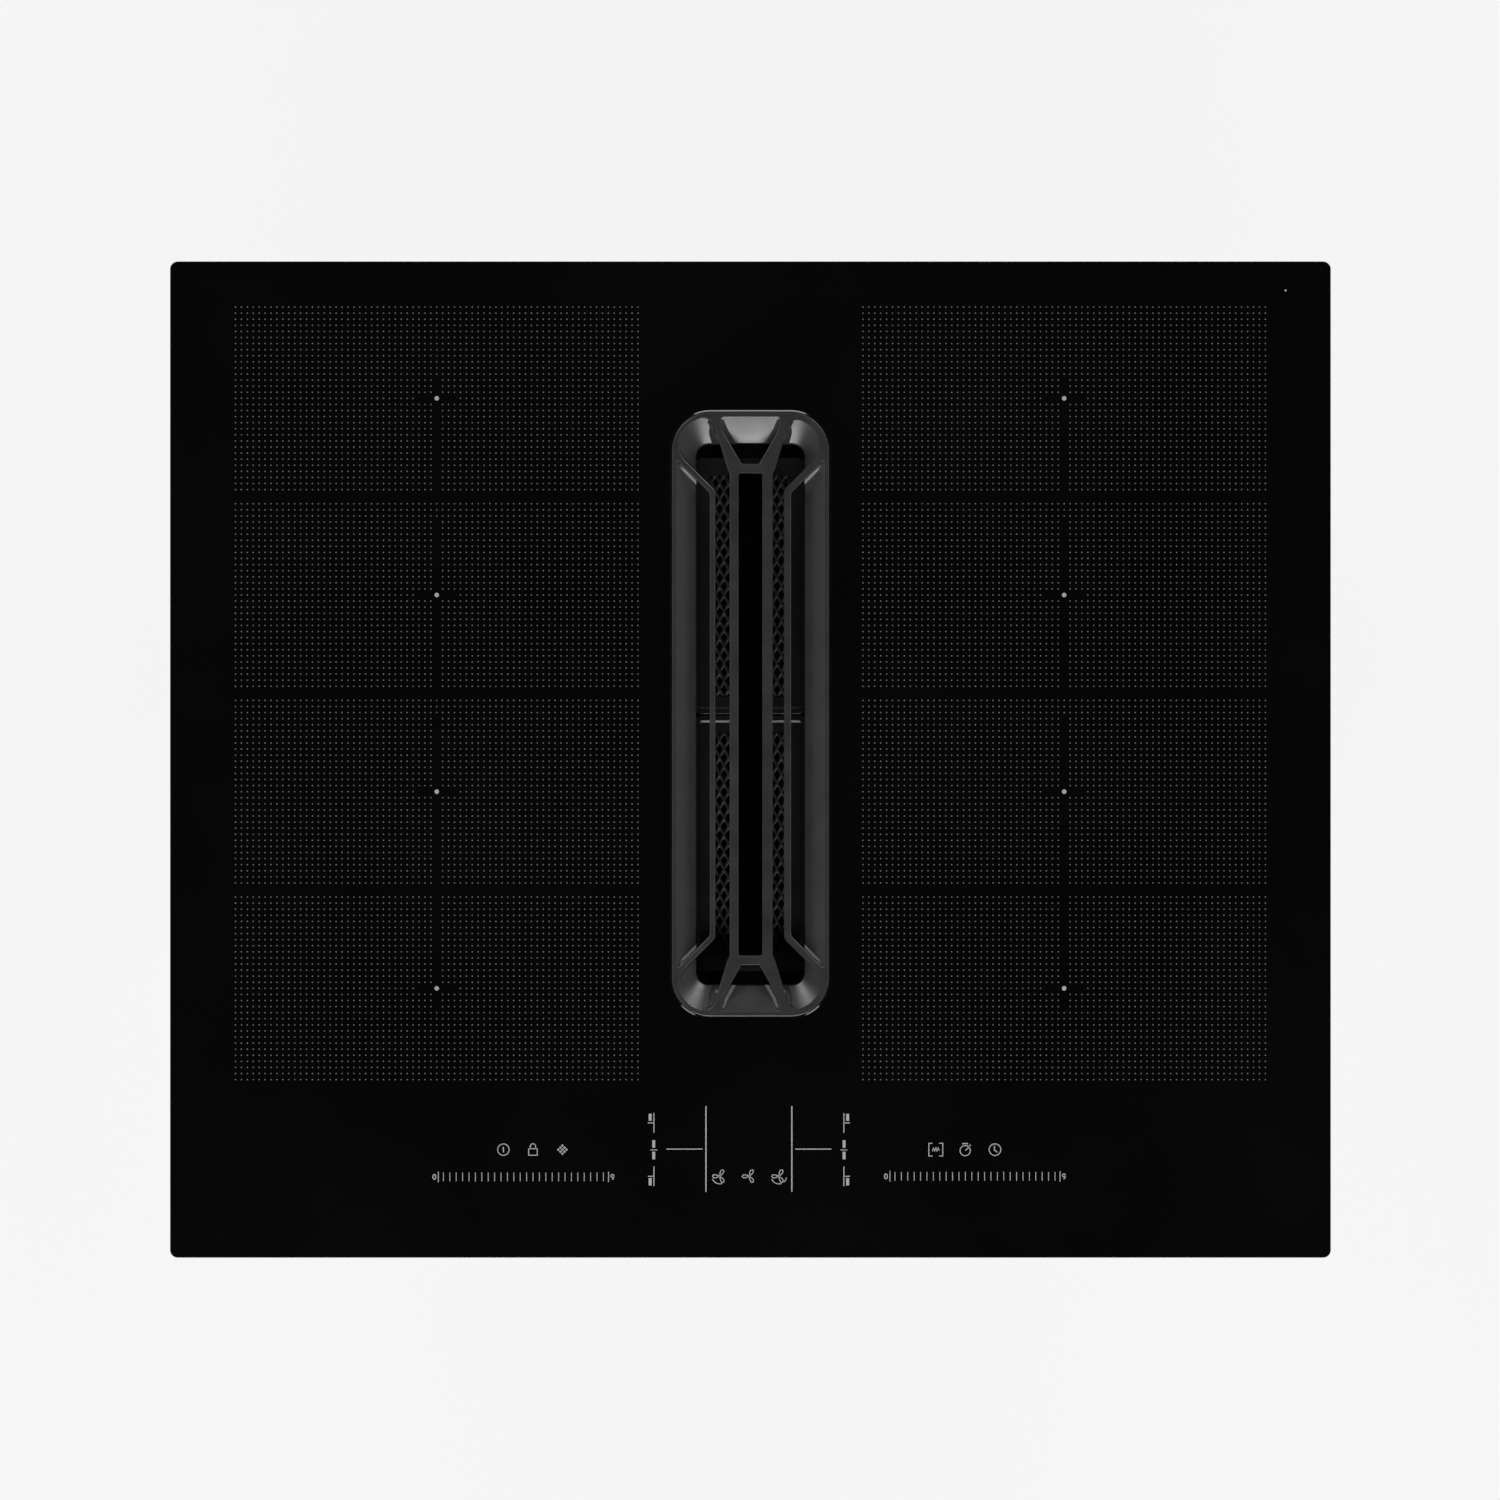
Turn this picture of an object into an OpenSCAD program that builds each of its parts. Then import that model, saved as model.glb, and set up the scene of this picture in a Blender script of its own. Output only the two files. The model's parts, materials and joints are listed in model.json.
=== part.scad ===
// Downdraft induction cooktop, seen from the user's side: +X right, +Y to the rear, +Z up.
// The unit stands on its fan case at z = 0, centred under the glass plate.

/* [Glass plate] */
// Width of the glass plate
glass_w = 600; // [590:5:660]
// Depth of the glass plate, front to rear
glass_d = 515; // [510:5:560]
// Thickness of the glass
glass_t = 4; // [3:0.5:6]
// Radius of the plate's corners in plan
glass_corner_r = 4; // [2:0.5:12]
// Width of the ground bevel round the top edge
glass_bevel = 0.8; // [0.4:0.1:1.5]

/* [Intake grille] */
// Centre of the intake behind the centre of the glass
intake_y = 23.4; // [15:0.2:30]
// Outer width of the grille
grille_w = 81.4; // [78:0.2:86]
// Outer depth of the grille, front to rear
grille_d = 312.6; // [306:0.2:318]
// Height of the grille casting
grille_h = 16; // [14:0.5:20]
// Depth of the funnel's slope, above its upright throat
funnel_h = 7; // [6:0.5:9]
// Radius of the grille's outer corners
grille_corner_r = 20; // [16:0.5:26]
// Width of the flat rim round the funnel
grille_rim = 2.9; // [2.6:0.1:4]
// Width of the funnel's throat
throat_w = 56.2; // [54:0.2:58]
// Depth of the funnel's throat, front to rear
throat_d = 280.3; // [278:0.1:284]
// Corner radius of the throat
throat_r = 6.7; // [4:0.1:9]
// Gap between grille and glass all round
grille_gap = 1.2; // [0.8:0.1:2]

/* [Grille ribs] */
// Width of each of the centre beam's two ribs
beam_rib = 4.65; // [3.5:0.05:5.5]
// Gap between the centre ribs, where the inlay lies
beam_gap = 12.3; // [10:0.1:14]
// Length of the inlay's pocket
pocket_d = 249.4; // [236:0.2:254]
// Width of the cross ribs that close the pocket
cross_rib = 4.8; // [3.5:0.1:6]
// Height of the centre beam and its arms
beam_h = 11; // [9:0.5:13]
// Depth of the inlay's top below the rim
inlay_drop = 5; // [3:0.5:6]
// Thickness of the inlay strip
inlay_t = 3; // [2:0.5:4]
// Width of the thin side ribs
side_rib = 2.95; // [2:0.05:4]
// Height of the thin side ribs
side_rib_h = 8; // [6:0.5:10]
// Distance of a side rib's centre line from the middle
side_rib_x = 19.6; // [17:0.1:21]
// Length of a side rib's straight stretch
side_rib_d = 230.2; // [216:0.2:234]
// Width of the beam's fork where it leaves the beam
fork_foot_w = 24; // [22:0.5:27]
// Width of the fork at the rim
fork_top_w = 40.6; // [36:0.2:44]
// Width of the vent between the fork's arms at its foot
vent_foot_w = 9; // [7:0.2:11]
// Width of that vent where its sides turn up to the rim
vent_bend_w = 28; // [24:0.2:30]

/* [Grease filters] */
// Width of a filter cassette
filter_w = 60; // [58.5:0.5:64]
// Depth of a filter cassette, front to rear
filter_d = 133.6; // [126:0.2:137]
// Height of a filter cassette
filter_h = 10; // [8:0.5:14]
// Depth of the filters' top below the glass surface
filter_drop = 32; // [30:0.5:38]
// Width of the cassette's folded rim
filter_rim = 9; // [7:0.5:11]
// Width of one opening of the expanded metal
mesh_pitch_x = 4.6; // [4:0.1:7]
// Length of one opening of the expanded metal
mesh_pitch_y = 9; // [8:0.5:12]
// Width of the metal strands between the openings
mesh_strand = 1.1; // [0.8:0.1:1.6]

/* [Shaft and drip tray] */
// Play between a filter and the shaft on each side
filter_play = 1; // [0.6:0.1:1.6]
// Width of the ledge under a filter
filter_seat = 3; // [2.5:0.5:5]
// Wall of the intake shaft
shaft_wall = 2; // [1.5:0.5:3]
// Play between drip tray and the filters' ledge on each side
drip_play = 1.5; // [1:0.5:3]
// Height of the drip tray
drip_h = 22; // [14:1:26]
// Wall of the drip tray
drip_wall = 1.5; // [1:0.25:2]
// Height of the shelves that carry the drip tray
shelf_h = 14; // [10:1:16]

/* [Base tray] */
// Distance from the glass edge to the tray at each side
side_overhang = 22; // [20:1:24]
// Distance from the glass edge to the tray at front and rear
end_overhang = 14.5; // [13:0.5:16]
// Height of the tray under the glass
tray_h = 53; // [50:1:60]
// Sheet thickness of the tray
tray_t = 1; // [0.8:0.1:1.5]
// Corner radius of the tray
tray_r = 8; // [5:1:14]

/* [Coils] */
// Distance between the front coils and the touch board
field_gap = 15.65; // [12:0.05:20]
// Gap between neighbouring coils
coil_gap = 9.65; // [6:0.05:14]
// Width of a winding as a share of the coil's depth
winding_share = 0.348; // [0.3:0.002:0.4]
// Height of a winding
winding_t = 3.5; // [2.5:0.5:5]

/* [Fan] */
// Radius of the impeller
impeller_r = 90; // [84:1:92]
// Height of the impeller
impeller_h = 64; // [56:1:66]
// Number of impeller blades
blade_count = 36; // [24:1:40]
// Radius of the inlet bell's throat
bell_r = 68; // [60:1:69]
// Radius of the scroll at its widest
scroll_r1 = 150; // [144:1:156]
// Clear height inside the scroll
scroll_h = 87; // [84:1:96]
// Centre of the fan in front of the centre of the glass
fan_y = 10; // [5:1:20]
// Wall of the fan case
case_wall = 3; // [2.5:0.5:4]
// Height of the plenum between scroll and tray
plenum_h = 57; // [52:1:60]

/* [Duct outlet] */
// Outer width of the flat duct spigot
duct_w = 222; // [216:1:226]
// Outer height of the flat duct spigot
duct_h = 89; // [80:1:89]
// Wall of the spigot
duct_wall = 2.5; // [2:0.5:3]

/* [Hidden] */

$fn = 64;
// Overrun that makes each cut pass cleanly through its surface
cut = 1;
// Smallest radius drawn on an inner corner
least_r = 0.5;
// Facets of the rounded corners inside a hull
hull_fn = 32;
// Steps round a quarter turn of a lofted ring
loft_steps = 8;

// Stack of levels, from the fan case's foot to the glass
case_top_z = case_wall + scroll_h;
plate_top_z = case_top_z + case_wall;
plenum_top_z = plate_top_z + plenum_h;
gasket_t = 2;
tray_z = plenum_top_z + gasket_t;
tray_floor_z = tray_z + tray_t;
adhesive_t = 1;
tray_top_z = tray_z + tray_h;
glass_z = tray_top_z + adhesive_t;
glass_top_z = glass_z + glass_t;

// Grille, its pads and the collar's ledge
grille_z = glass_top_z - grille_h;
pad_t = 1;
pad_w = 1.8;
pad_d = 24;
pad_y_share = 0.3;
ledge_z = grille_z - pad_t;
ledge_t = 2;
opening_w = grille_w + 2 * grille_gap;
opening_d = grille_d + 2 * grille_gap;
opening_r = grille_corner_r + grille_gap;
collar_wall = 2;
collar_flange = 12;
collar_flange_t = 1.5;
collar_bead_w = 8;
skirt_t = 2.4;
funnel_sheet = 2.8;
mouth_w = grille_w - 2 * grille_rim;
mouth_d = grille_d - 2 * grille_rim;
mouth_r = grille_corner_r - grille_rim;
beam_w = beam_gap + 2 * beam_rib;
beam_d = pocket_d + 2 * cross_rib;
pocket_r = 1.2;
inlay_play = 0.15;
fork_blend_r = 6;
vent_r = 1.2;
vent_flare = 1.3;
vent_bend_share = 0.7;
rib_turn = 45;
rib_blend_r = 12;
rib_bend_r = 4;
band_overrun = 12;

// Shaft, filters and drip tray
shaft_in_w = filter_w + 2 * filter_play;
filter_split = 0.8;
throat_margin = 1.85;
shaft_in_d = max(throat_d, 2 * filter_d + filter_split) + 2 * throat_margin;
shaft_in_r = 7;
shaft_out_w = shaft_in_w + 2 * shaft_wall;
shaft_out_d = shaft_in_d + 2 * shaft_wall;
shaft_out_r = shaft_in_r + shaft_wall;
shaft_top_z = ledge_z - ledge_t;
shaft_dip = 4;
shaft_bottom_z = plenum_top_z - shaft_dip;
shaft_ledge_t = 2;
filter_top_z = glass_top_z - filter_drop;
filter_z = filter_top_z - filter_h;
ledge_open_w = filter_w - 2 * filter_seat;
ledge_open_d = 2 * filter_d + filter_split - 2 * filter_seat;
ledge_open_r = 5;
filter_y = (filter_d + filter_split) / 2;
filter_sheet = 1;
filter_r = 5;
mesh_t = 1.2;
mesh_play = 0.2;
handle_w = 26;
handle_rise = 5;
handle_t = 1.4;
handle_leg = 3;
drip_w = ledge_open_w - 2 * drip_play;
drip_d = ledge_open_d - 2 * drip_play;
drip_r = 10;
drip_lip = 3;
drip_z = plate_top_z + shelf_h;
shelf_w = 24;
shelf_t = 4;
shelf_reach = 12;
shelf_foot = 8;

// Base tray and the frame bonded to the glass
tray_w = glass_w - 2 * side_overhang;
tray_d = glass_d - 2 * end_overhang;
frame_t = 1.5;
frame_play = 0.2;
frame_leg = 8;
frame_drop = 18;
frame_out_w = tray_w - 2 * tray_t - 2 * frame_play;
frame_out_d = tray_d - 2 * tray_t - 2 * frame_play;
frame_out_r = tray_r - tray_t - frame_play;
bead_w = 6;
seal_inset = 2.5;
seal_w = 9;
seal_t = 2;
shaft_slot_play = 0.5;
vent_slot_w = 3;
vent_slot_d = 46;
vent_slot_pitch = 7;
vent_slot_count = 8;
side_slot_w = 18;
side_slot_h = 3.5;
side_slot_pitch = 26;
side_slot_count = 9;
side_slot_rise = 12;

// Screws
screw_r = 2;
screw_play = 0.1;
screw_head_r = 3.8;
screw_head_h = 1.6;
screw_len = 5;
screw_bite = 12;
side_screw_shares = [-0.36, 0, 0.36];
end_screw_shares = [-0.3, 0.3];
side_screw_drop = 10;

// Coil bays, one each side of the intake
bay_x0 = opening_w / 2 + collar_wall + collar_flange;
bay_x1 = frame_out_w / 2 - frame_leg;
coil_margin = 4.45;
coil_x = (bay_x0 + bay_x1) / 2;
coil_w = bay_x1 - bay_x0 - 2 * coil_margin;
coil_rear_margin = 1;
coil_count = 4;
control_d = 46;
control_front_margin = 8;
coil_pitch = (frame_out_d - 2 * frame_leg - coil_rear_margin - control_front_margin
              - control_d - field_gap + coil_gap) / coil_count;
coil_d = coil_pitch - coil_gap;
winding_w = winding_share * coil_d;
coil_y = frame_out_d / 2 - frame_leg - coil_rear_margin - coil_d / 2;
mica_t = 0.8;
mica_margin = 0.6;
groove_count = 7;
groove_w = 0.8;
groove_t = 0.6;
carrier_t = 2;
ferrite_t = 4;
ferrite_w = 8;
ferrite_count = 6;
ferrite_pitch = 30;
ferrite_d_share = 0.86;
coil_plate_t = 1.5;
coil_plate_leg_t = 1.5;
mica_z = glass_z - mica_t;
winding_z = mica_z - winding_t;
carrier_z = winding_z - carrier_t;
ferrite_z = carrier_z - ferrite_t;
coil_plate_z = ferrite_z - coil_plate_t;
coil_hub_r = 6;
field_d = (coil_count - 1) * coil_pitch + coil_d;
field_y = coil_y - (coil_count - 1) * coil_pitch / 2;

// Power electronics on the tray floor
board_t = 1.6;
board_w = 150;
board_d = 190;
board_gap = 24.8;
board_y = -frame_out_d / 2 + frame_leg + control_front_margin + control_d + board_gap + board_d / 2;
board_post_h = 5;
board_post_r = 4;
board_post_inset = 8;
board_z = tray_floor_z + board_post_h;
board_top_z = board_z + board_t;
sink_w = 44;
sink_d = 150;
sink_h = 26;
sink_base_t = 4;
sink_fin_t = 1.6;
sink_fin_count = 8;
sink_x = 34;
cap_r = 11;
cap_h = 27;
cap_pitch = 30;
cap_count = 3;
cap_x = -22;
cap_bead_r = 1.5;
choke_r = 18;
choke_hole_r = 8;
choke_t = 14;
choke_y = -72;
choke_pitch = 38;
choke_x = -30;
choke_count = 2;

// Touch control behind the front edge
control_w = 340;
control_y = -(frame_out_d / 2 - frame_leg - control_front_margin - control_d / 2);
control_drop = 8;
control_z = glass_z - control_drop - board_t;
control_post_r = 4;
control_post_count = 5;
control_bar_t = 3;
control_bar_d = 12;
spring_r = 4;
spring_wall = 1;
spring_pitch = 34;
spring_count = 9;

// Cooling blowers behind the power boards
blower_w = 86;
blower_h = 28;
blower_wall = 1.5;
blower_r = 10;
blower_margin = 12;
blower_y = field_y + field_d / 2 - blower_margin - blower_w / 2;
blower_eye_r = 28;
blower_mouth_w = 40;
blower_pin_r = 2;
blower_play = 0.05;
rotor_r = 36;
rotor_h = 18;
rotor_hub_r = 10;
rotor_plate_t = 1.5;
rotor_gap = 3;
rotor_blade_t = 1.2;
rotor_blade_count = 11;

// Terminal box under the tray, its gland towards the rear
terminal_w = 100;
terminal_d = 80;
terminal_h = 32;
terminal_wall = 2.5;
terminal_r = 6;
terminal_inset = 78;
terminal_x = terminal_inset - tray_w / 2;
terminal_y = 55;
gland_r = 9;
gland_bore_r = 5.5;
gland_len = 12;

// Fan case and scroll, with the spigot's plug in its outlet
plug_len = 12;
plug_play = 0.25;
plug_wall = 2;
neck_spare = 3;
tongue_angle = 60;
tongue_r = 100;
scroll_steps = 50;
scroll_flare_y = 60;
outlet_y = 150;
outlet_x = 69;
outlet_neck = plug_len + neck_spare;
boss_r = 5;
boss_h = 30;
boss_reach = 3;
boss_angles = [115, 168, 205, 250, 295, 340];
bell_t = 2;
bell_flare = 14;
bell_flange = 12;
bell_gap = 3;
plenum_margin = 8;
plenum_w = 220;
plenum_r = 14;
plenum_d = shaft_out_d + 2 * plenum_margin;
rim_reach = 6;
rim_h = 3;
plenum_boss_h = 24;
plenum_boss_inset = 12;

// Motor and impeller
motor_flange_r = 55;
motor_flange_t = 5;
stator_r = 40;
stator_h = 30;
motor_shaft_r = 4;
impeller_lift = 13;
impeller_z = case_wall + impeller_lift;
running_play = 0.05;
cup_r = 48;
cup_wall = 3;
cup_h = 36;
cup_boss_r = 9;
back_t = 2;
blade_t = 1.4;
blade_in_r = 73;
blade_lean = 14;
blade_bow = 3;
ring_w = 7;
ring_t = 2;
blade_inset = 0.6;

// Outlet spigot and its flap
spigot_end_y = tray_d / 2;
spigot_r = 6;
stop_t = 3;
stop_lip = 4;
flap_play = 1;
flap_t = 2;
flap_pin_r = 2;
flap_pin_drop = 5;
flap_setback = 4;
flap_stop_gap = 0.3;

// Swivelling worktop clamps under the tray's corners
clamp_inset = 15;
clamp_y_share = 0.41;
clamp_len = 32;
clamp_w = 14;
clamp_t = 3;
clamp_gap = 2;
clamp_pin_r = 3;
clamp_head_r = 6;
clamp_head_h = 2.4;
clamp_head_gap = 0.2;
jack_r = 2.5;
jack_len = 22;
jack_play = 0.05;
jack_tip = 1;
clamp_z = tray_z - clamp_gap - clamp_t;
clamp_x = tray_w / 2 - clamp_inset;
clamp_y = tray_d * clamp_y_share;
clamp_places = [[-1, -1], [1, -1], [1, 1], [-1, 1]];

// Flat rounded rectangle about the origin
module round_rect(w, d, r) {
    square([w - 2 * r, d], center = true);
    square([w, d - 2 * r], center = true);
    for (sx = [-1, 1], sy = [-1, 1])
        translate([sx * (w / 2 - r), sy * (d / 2 - r)])
            circle(r = r);
}

// Plate with rounded corners, standing on z = 0
module round_slab(w, d, h, r) {
    linear_extrude(height = h)
        round_rect(w, d, r);
}

// Rectangular ring with rounded corners, its bar "bar" wide
module round_ring(w, d, h, r, bar) {
    difference() {
        round_slab(w, d, h, r);
        translate([0, 0, -cut])
            round_slab(w - 2 * bar, d - 2 * bar, h + 2 * cut, max(r - bar, least_r));
    }
}

// Straight tube ring round the z axis
module tube(r_out, r_in, h) {
    difference() {
        cylinder(r = r_out, h = h);
        translate([0, 0, -cut])
            cylinder(r = r_in, h = h + 2 * cut);
    }
}

module glass_plate() {
    color("#0b0b0c")
    translate([0, 0, glass_z])
        difference() {
            hull() {
                round_slab(glass_w, glass_d, glass_t - glass_bevel, glass_corner_r, $fn = hull_fn);
                round_slab(glass_w - 2 * glass_bevel, glass_d - 2 * glass_bevel, glass_t,
                           glass_corner_r - glass_bevel, $fn = hull_fn);
            }
            translate([0, intake_y, -cut])
                round_slab(opening_w, opening_d, glass_t + 2 * cut, opening_r);
        }
}

module glass_adhesive() {
    color("#2c2c2c")
    translate([0, 0, tray_top_z]) {
        round_ring(frame_out_w, frame_out_d, adhesive_t, frame_out_r, bead_w);
        translate([0, intake_y, 0])
            round_ring(opening_w + 2 * (collar_wall + collar_flange),
                       opening_d + 2 * (collar_wall + collar_flange),
                       adhesive_t, opening_r + collar_wall + collar_flange, collar_bead_w);
    }
}

module glass_frame() {
    color("#b8babd")
    difference() {
        union() {
            translate([0, 0, tray_top_z - frame_t])
                round_ring(frame_out_w, frame_out_d, frame_t, frame_out_r, frame_leg);
            translate([0, 0, tray_top_z - frame_drop])
                round_ring(frame_out_w, frame_out_d, frame_drop, frame_out_r, frame_t);
        }
        side_screw_bores();
    }
}

// Bores through tray wall and frame for the side screws
module side_screw_bores() {
    translate([0, 0, tray_top_z - side_screw_drop]) {
        for (s = side_screw_shares, m = [-1, 1])
            translate([m * tray_w / 2, s * tray_d, 0])
                rotate([0, -90 * m, 0])
                    translate([0, 0, -cut])
                        cylinder(r = screw_r + screw_play, h = screw_bite);
        for (s = end_screw_shares, m = [-1, 1])
            translate([s * tray_w, m * tray_d / 2, 0])
                rotate([90 * m, 0, 0])
                    translate([0, 0, -cut])
                        cylinder(r = screw_r + screw_play, h = screw_bite);
    }
}

module worktop_seal() {
    color("#1b1b1b")
    translate([0, 0, glass_z - seal_t])
        round_ring(glass_w - 2 * seal_inset, glass_d - 2 * seal_inset, seal_t,
                   max(glass_corner_r - seal_inset, least_r), seal_w);
}

module intake_collar() {
    color("#151516")
    translate([0, intake_y, 0])
        difference() {
            union() {
                translate([0, 0, tray_top_z - collar_flange_t])
                    round_slab(opening_w + 2 * (collar_wall + collar_flange),
                               opening_d + 2 * (collar_wall + collar_flange),
                               collar_flange_t, opening_r + collar_wall + collar_flange);
                translate([0, 0, ledge_z - ledge_t])
                    round_slab(opening_w + 2 * collar_wall, opening_d + 2 * collar_wall,
                               glass_z - ledge_z + ledge_t, opening_r + collar_wall);
            }
            translate([0, 0, ledge_z])
                round_slab(opening_w, opening_d, grille_h + cut, opening_r);
            translate([0, 0, ledge_z - ledge_t - cut])
                round_slab(shaft_in_w, shaft_in_d, ledge_t + 2 * cut, shaft_in_r);
        }
}

// Points of a rounded rectangle at height "z", counterclockwise
function ring_points(w, d, r, z) = [
    for (turn = [0 : 3], i = [0 : loft_steps])
        let (
            angle = (turn + i / loft_steps) * 90,
            sx = turn == 0 || turn == 3 ? 1 : -1,
            sy = turn < 2 ? 1 : -1
        )
        [sx * (w / 2 - r) + r * cos(angle), sy * (d / 2 - r) + r * sin(angle), z]
];

// Solid through rings that have equal numbers of points, from the lowest to the highest
module loft(rings) {
    count = len(rings[0]);
    last = len(rings) - 1;
    polyhedron(
        points = [for (ring = rings) each ring],
        faces = [
            [for (i = [0 : count - 1]) i],
            for (k = [0 : last - 1], i = [0 : count - 1])
                let (j = (i + 1) % count)
                [k * count + i, (k + 1) * count + i, (k + 1) * count + j, k * count + j],
            [for (i = [count - 1 : -1 : 0]) last * count + i]
        ]
    );
}

// The grille's funnel as a solid, grown sideways by "grow": a slope above an upright throat
module funnel(grow) {
    throat = [throat_w + 2 * grow, throat_d + 2 * grow, throat_r + grow];
    mouth = [mouth_w + 2 * grow, mouth_d + 2 * grow, mouth_r + grow];
    rise = (mouth - throat) * (cut / funnel_h);
    loft([
        ring_points(throat[0], throat[1], throat[2], -cut),
        ring_points(throat[0], throat[1], throat[2], grille_h - funnel_h),
        ring_points(mouth[0] + rise[0], mouth[1] + rise[1], mouth[2] + rise[2], grille_h + cut)
    ]);
}

// Rounds inner corners of a plan by "r"
module blended(r) {
    offset(r = -r)
        offset(delta = r)
            children();
}

// Rounds outer corners of a plan by "r"
module softened(r) {
    offset(r = r)
        offset(delta = -r)
            children();
}

// The flat rim in plan, to half its width
module rim_outline() {
    difference() {
        round_rect(mouth_w + grille_rim, mouth_d + grille_rim, mouth_r + grille_rim / 2);
        round_rect(mouth_w, mouth_d, mouth_r);
    }
}

// Both forks in plan, with the vents between their arms filled
module fork_outline() {
    foot_y = beam_d / 2 - cross_rib;
    rim_y = (mouth_d + grille_rim) / 2;
    for (my = [0, 1])
        mirror([0, my])
            polygon([
                [-beam_w / 2, foot_y],
                [beam_w / 2, foot_y],
                [fork_foot_w / 2, foot_y + cross_rib / 2],
                [fork_top_w / 2, rim_y],
                [-fork_top_w / 2, rim_y],
                [-fork_foot_w / 2, foot_y + cross_rib / 2]
            ]);
}

// The vent between the rear fork's arms
module vent_outline() {
    reach = mouth_d / 2 - beam_d / 2;
    bend_y = beam_d / 2 + vent_bend_share * reach;
    softened(vent_r)
        polygon([
            [-vent_foot_w / 2, beam_d / 2],
            [vent_foot_w / 2, beam_d / 2],
            [vent_bend_w / 2, bend_y],
            [vent_bend_w / 2 + vent_flare, mouth_d / 2],
            [-vent_bend_w / 2 - vent_flare, mouth_d / 2],
            [-vent_bend_w / 2, bend_y]
        ]);
}

// A strip along one side in plan, from "inner_x" out to "outer_x", its ends at 45 degrees
module side_band(inner_x, outer_x, half_d) {
    run = outer_x + band_overrun - inner_x;
    intersection() {
        softened(rib_bend_r)
            polygon([
                [inner_x, half_d],
                [inner_x + run, half_d + run],
                [inner_x + run, -half_d - run],
                [inner_x, -half_d]
            ]);
        translate([inner_x, -half_d - run])
            square([outer_x - inner_x, 2 * (half_d + run)]);
    }
}

// Beam and forks in plan, each fork blended into the rim
module beam_outline() {
    near_w = fork_top_w + 4 * fork_blend_r;
    difference() {
        intersection() {
            blended(fork_blend_r) {
                rim_outline();
                fork_outline();
                square([beam_w, beam_d], center = true);
            }
            square([near_w, grille_d], center = true);
        }
        for (my = [0, 1])
            mirror([0, my])
                vent_outline();
    }
}

// The right side rib in plan, blended into the rim above and below
module side_rib_outline() {
    half = side_rib / 2;
    mitre = half * tan(rib_turn / 2);
    near_d = mouth_d - 2 * rib_blend_r;
    difference() {
        intersection() {
            blended(rib_blend_r) {
                rim_outline();
                side_band(side_rib_x - half, (mouth_w + grille_rim) / 2, side_rib_d / 2 + mitre);
            }
            translate([0, -near_d / 2])
                square([grille_w, near_d]);
        }
        side_band(side_rib_x + half, mouth_w / 2, side_rib_d / 2 - mitre);
    }
}

module grille_ribs() {
    $fn = hull_fn;
    difference() {
        translate([0, 0, grille_h - beam_h])
            linear_extrude(height = beam_h)
                beam_outline();
        translate([0, 0, grille_h - inlay_drop - inlay_t])
            round_slab(beam_gap, pocket_d, inlay_drop + inlay_t + cut, pocket_r);
    }
    translate([0, 0, grille_h - side_rib_h])
        linear_extrude(height = side_rib_h)
            for (mx = [0, 1])
                mirror([mx, 0])
                    side_rib_outline();
}

module grille() {
    color("#232325")
    translate([0, intake_y, grille_z]) {
        difference() {
            round_slab(grille_w, grille_d, grille_h, grille_corner_r);
            funnel(0);
            difference() {
                translate([0, 0, -cut])
                    round_slab(grille_w - 2 * skirt_t, grille_d - 2 * skirt_t, grille_h,
                               grille_corner_r - skirt_t);
                funnel(funnel_sheet);
            }
        }
        grille_ribs();
    }
}

module grille_inlay() {
    color("#050505")
    translate([0, intake_y, glass_top_z - inlay_drop - inlay_t])
        round_slab(beam_gap - 2 * inlay_play, pocket_d - 2 * inlay_play, inlay_t,
                   pocket_r - inlay_play);
}

module grille_pads() {
    color("#3a3a3a")
    translate([0, intake_y, ledge_z])
        for (mx = [-1, 1], my = [-1, 1])
            translate([mx * (grille_w / 2 - skirt_t / 2), my * grille_d * pad_y_share, pad_t / 2])
                cube([pad_w, pad_d, pad_t], center = true);
}

// Places a front (-1) or rear (1) filter's pieces at its own centre
module at_filter(side) {
    translate([0, intake_y + side * filter_y, filter_z])
        children();
}

module filter_frame(side) {
    color("#3b3c3e")
    at_filter(side)
        difference() {
            round_slab(filter_w, filter_d, filter_h, filter_r);
            translate([0, 0, filter_sheet])
                round_slab(filter_w - 2 * filter_sheet, filter_d - 2 * filter_sheet,
                           filter_h - 2 * filter_sheet, filter_r - filter_sheet);
            translate([0, 0, -cut])
                round_slab(filter_w - 2 * filter_rim, filter_d - 2 * filter_rim,
                           filter_h + 2 * cut, least_r);
        }
}

// Expanded metal: a sheet with staggered diamond openings
module filter_mesh(side) {
    sheet_w = filter_w - 2 * filter_sheet - 2 * mesh_play;
    sheet_d = filter_d - 2 * filter_sheet - 2 * mesh_play;
    half_w = filter_w / 2 - filter_rim + mesh_pitch_x / 2;
    half_d = filter_d / 2 - filter_rim + mesh_pitch_y / 2;
    cols = ceil(half_w / mesh_pitch_x);
    rows = ceil(half_d / mesh_pitch_y);
    color("#4a4b4d")
    at_filter(side)
        translate([0, 0, filter_h - filter_sheet - mesh_t])
            difference() {
                round_slab(sheet_w, sheet_d, mesh_t, filter_r - filter_sheet);
                for (i = [-cols : cols], j = [-rows : rows], k = [0, 1]) {
                    x = (i + k / 2) * mesh_pitch_x;
                    y = (j + k / 2) * mesh_pitch_y;
                    if (abs(x) < half_w && abs(y) < half_d)
                        translate([x, y, -cut])
                            linear_extrude(height = mesh_t + 2 * cut)
                                mesh_opening();
                }
            }
}

module mesh_opening() {
    half_x = (mesh_pitch_x - mesh_strand) / 2;
    half_y = half_x * mesh_pitch_y / mesh_pitch_x;
    polygon([[half_x, 0], [0, half_y], [-half_x, 0], [0, -half_y]]);
}

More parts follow.
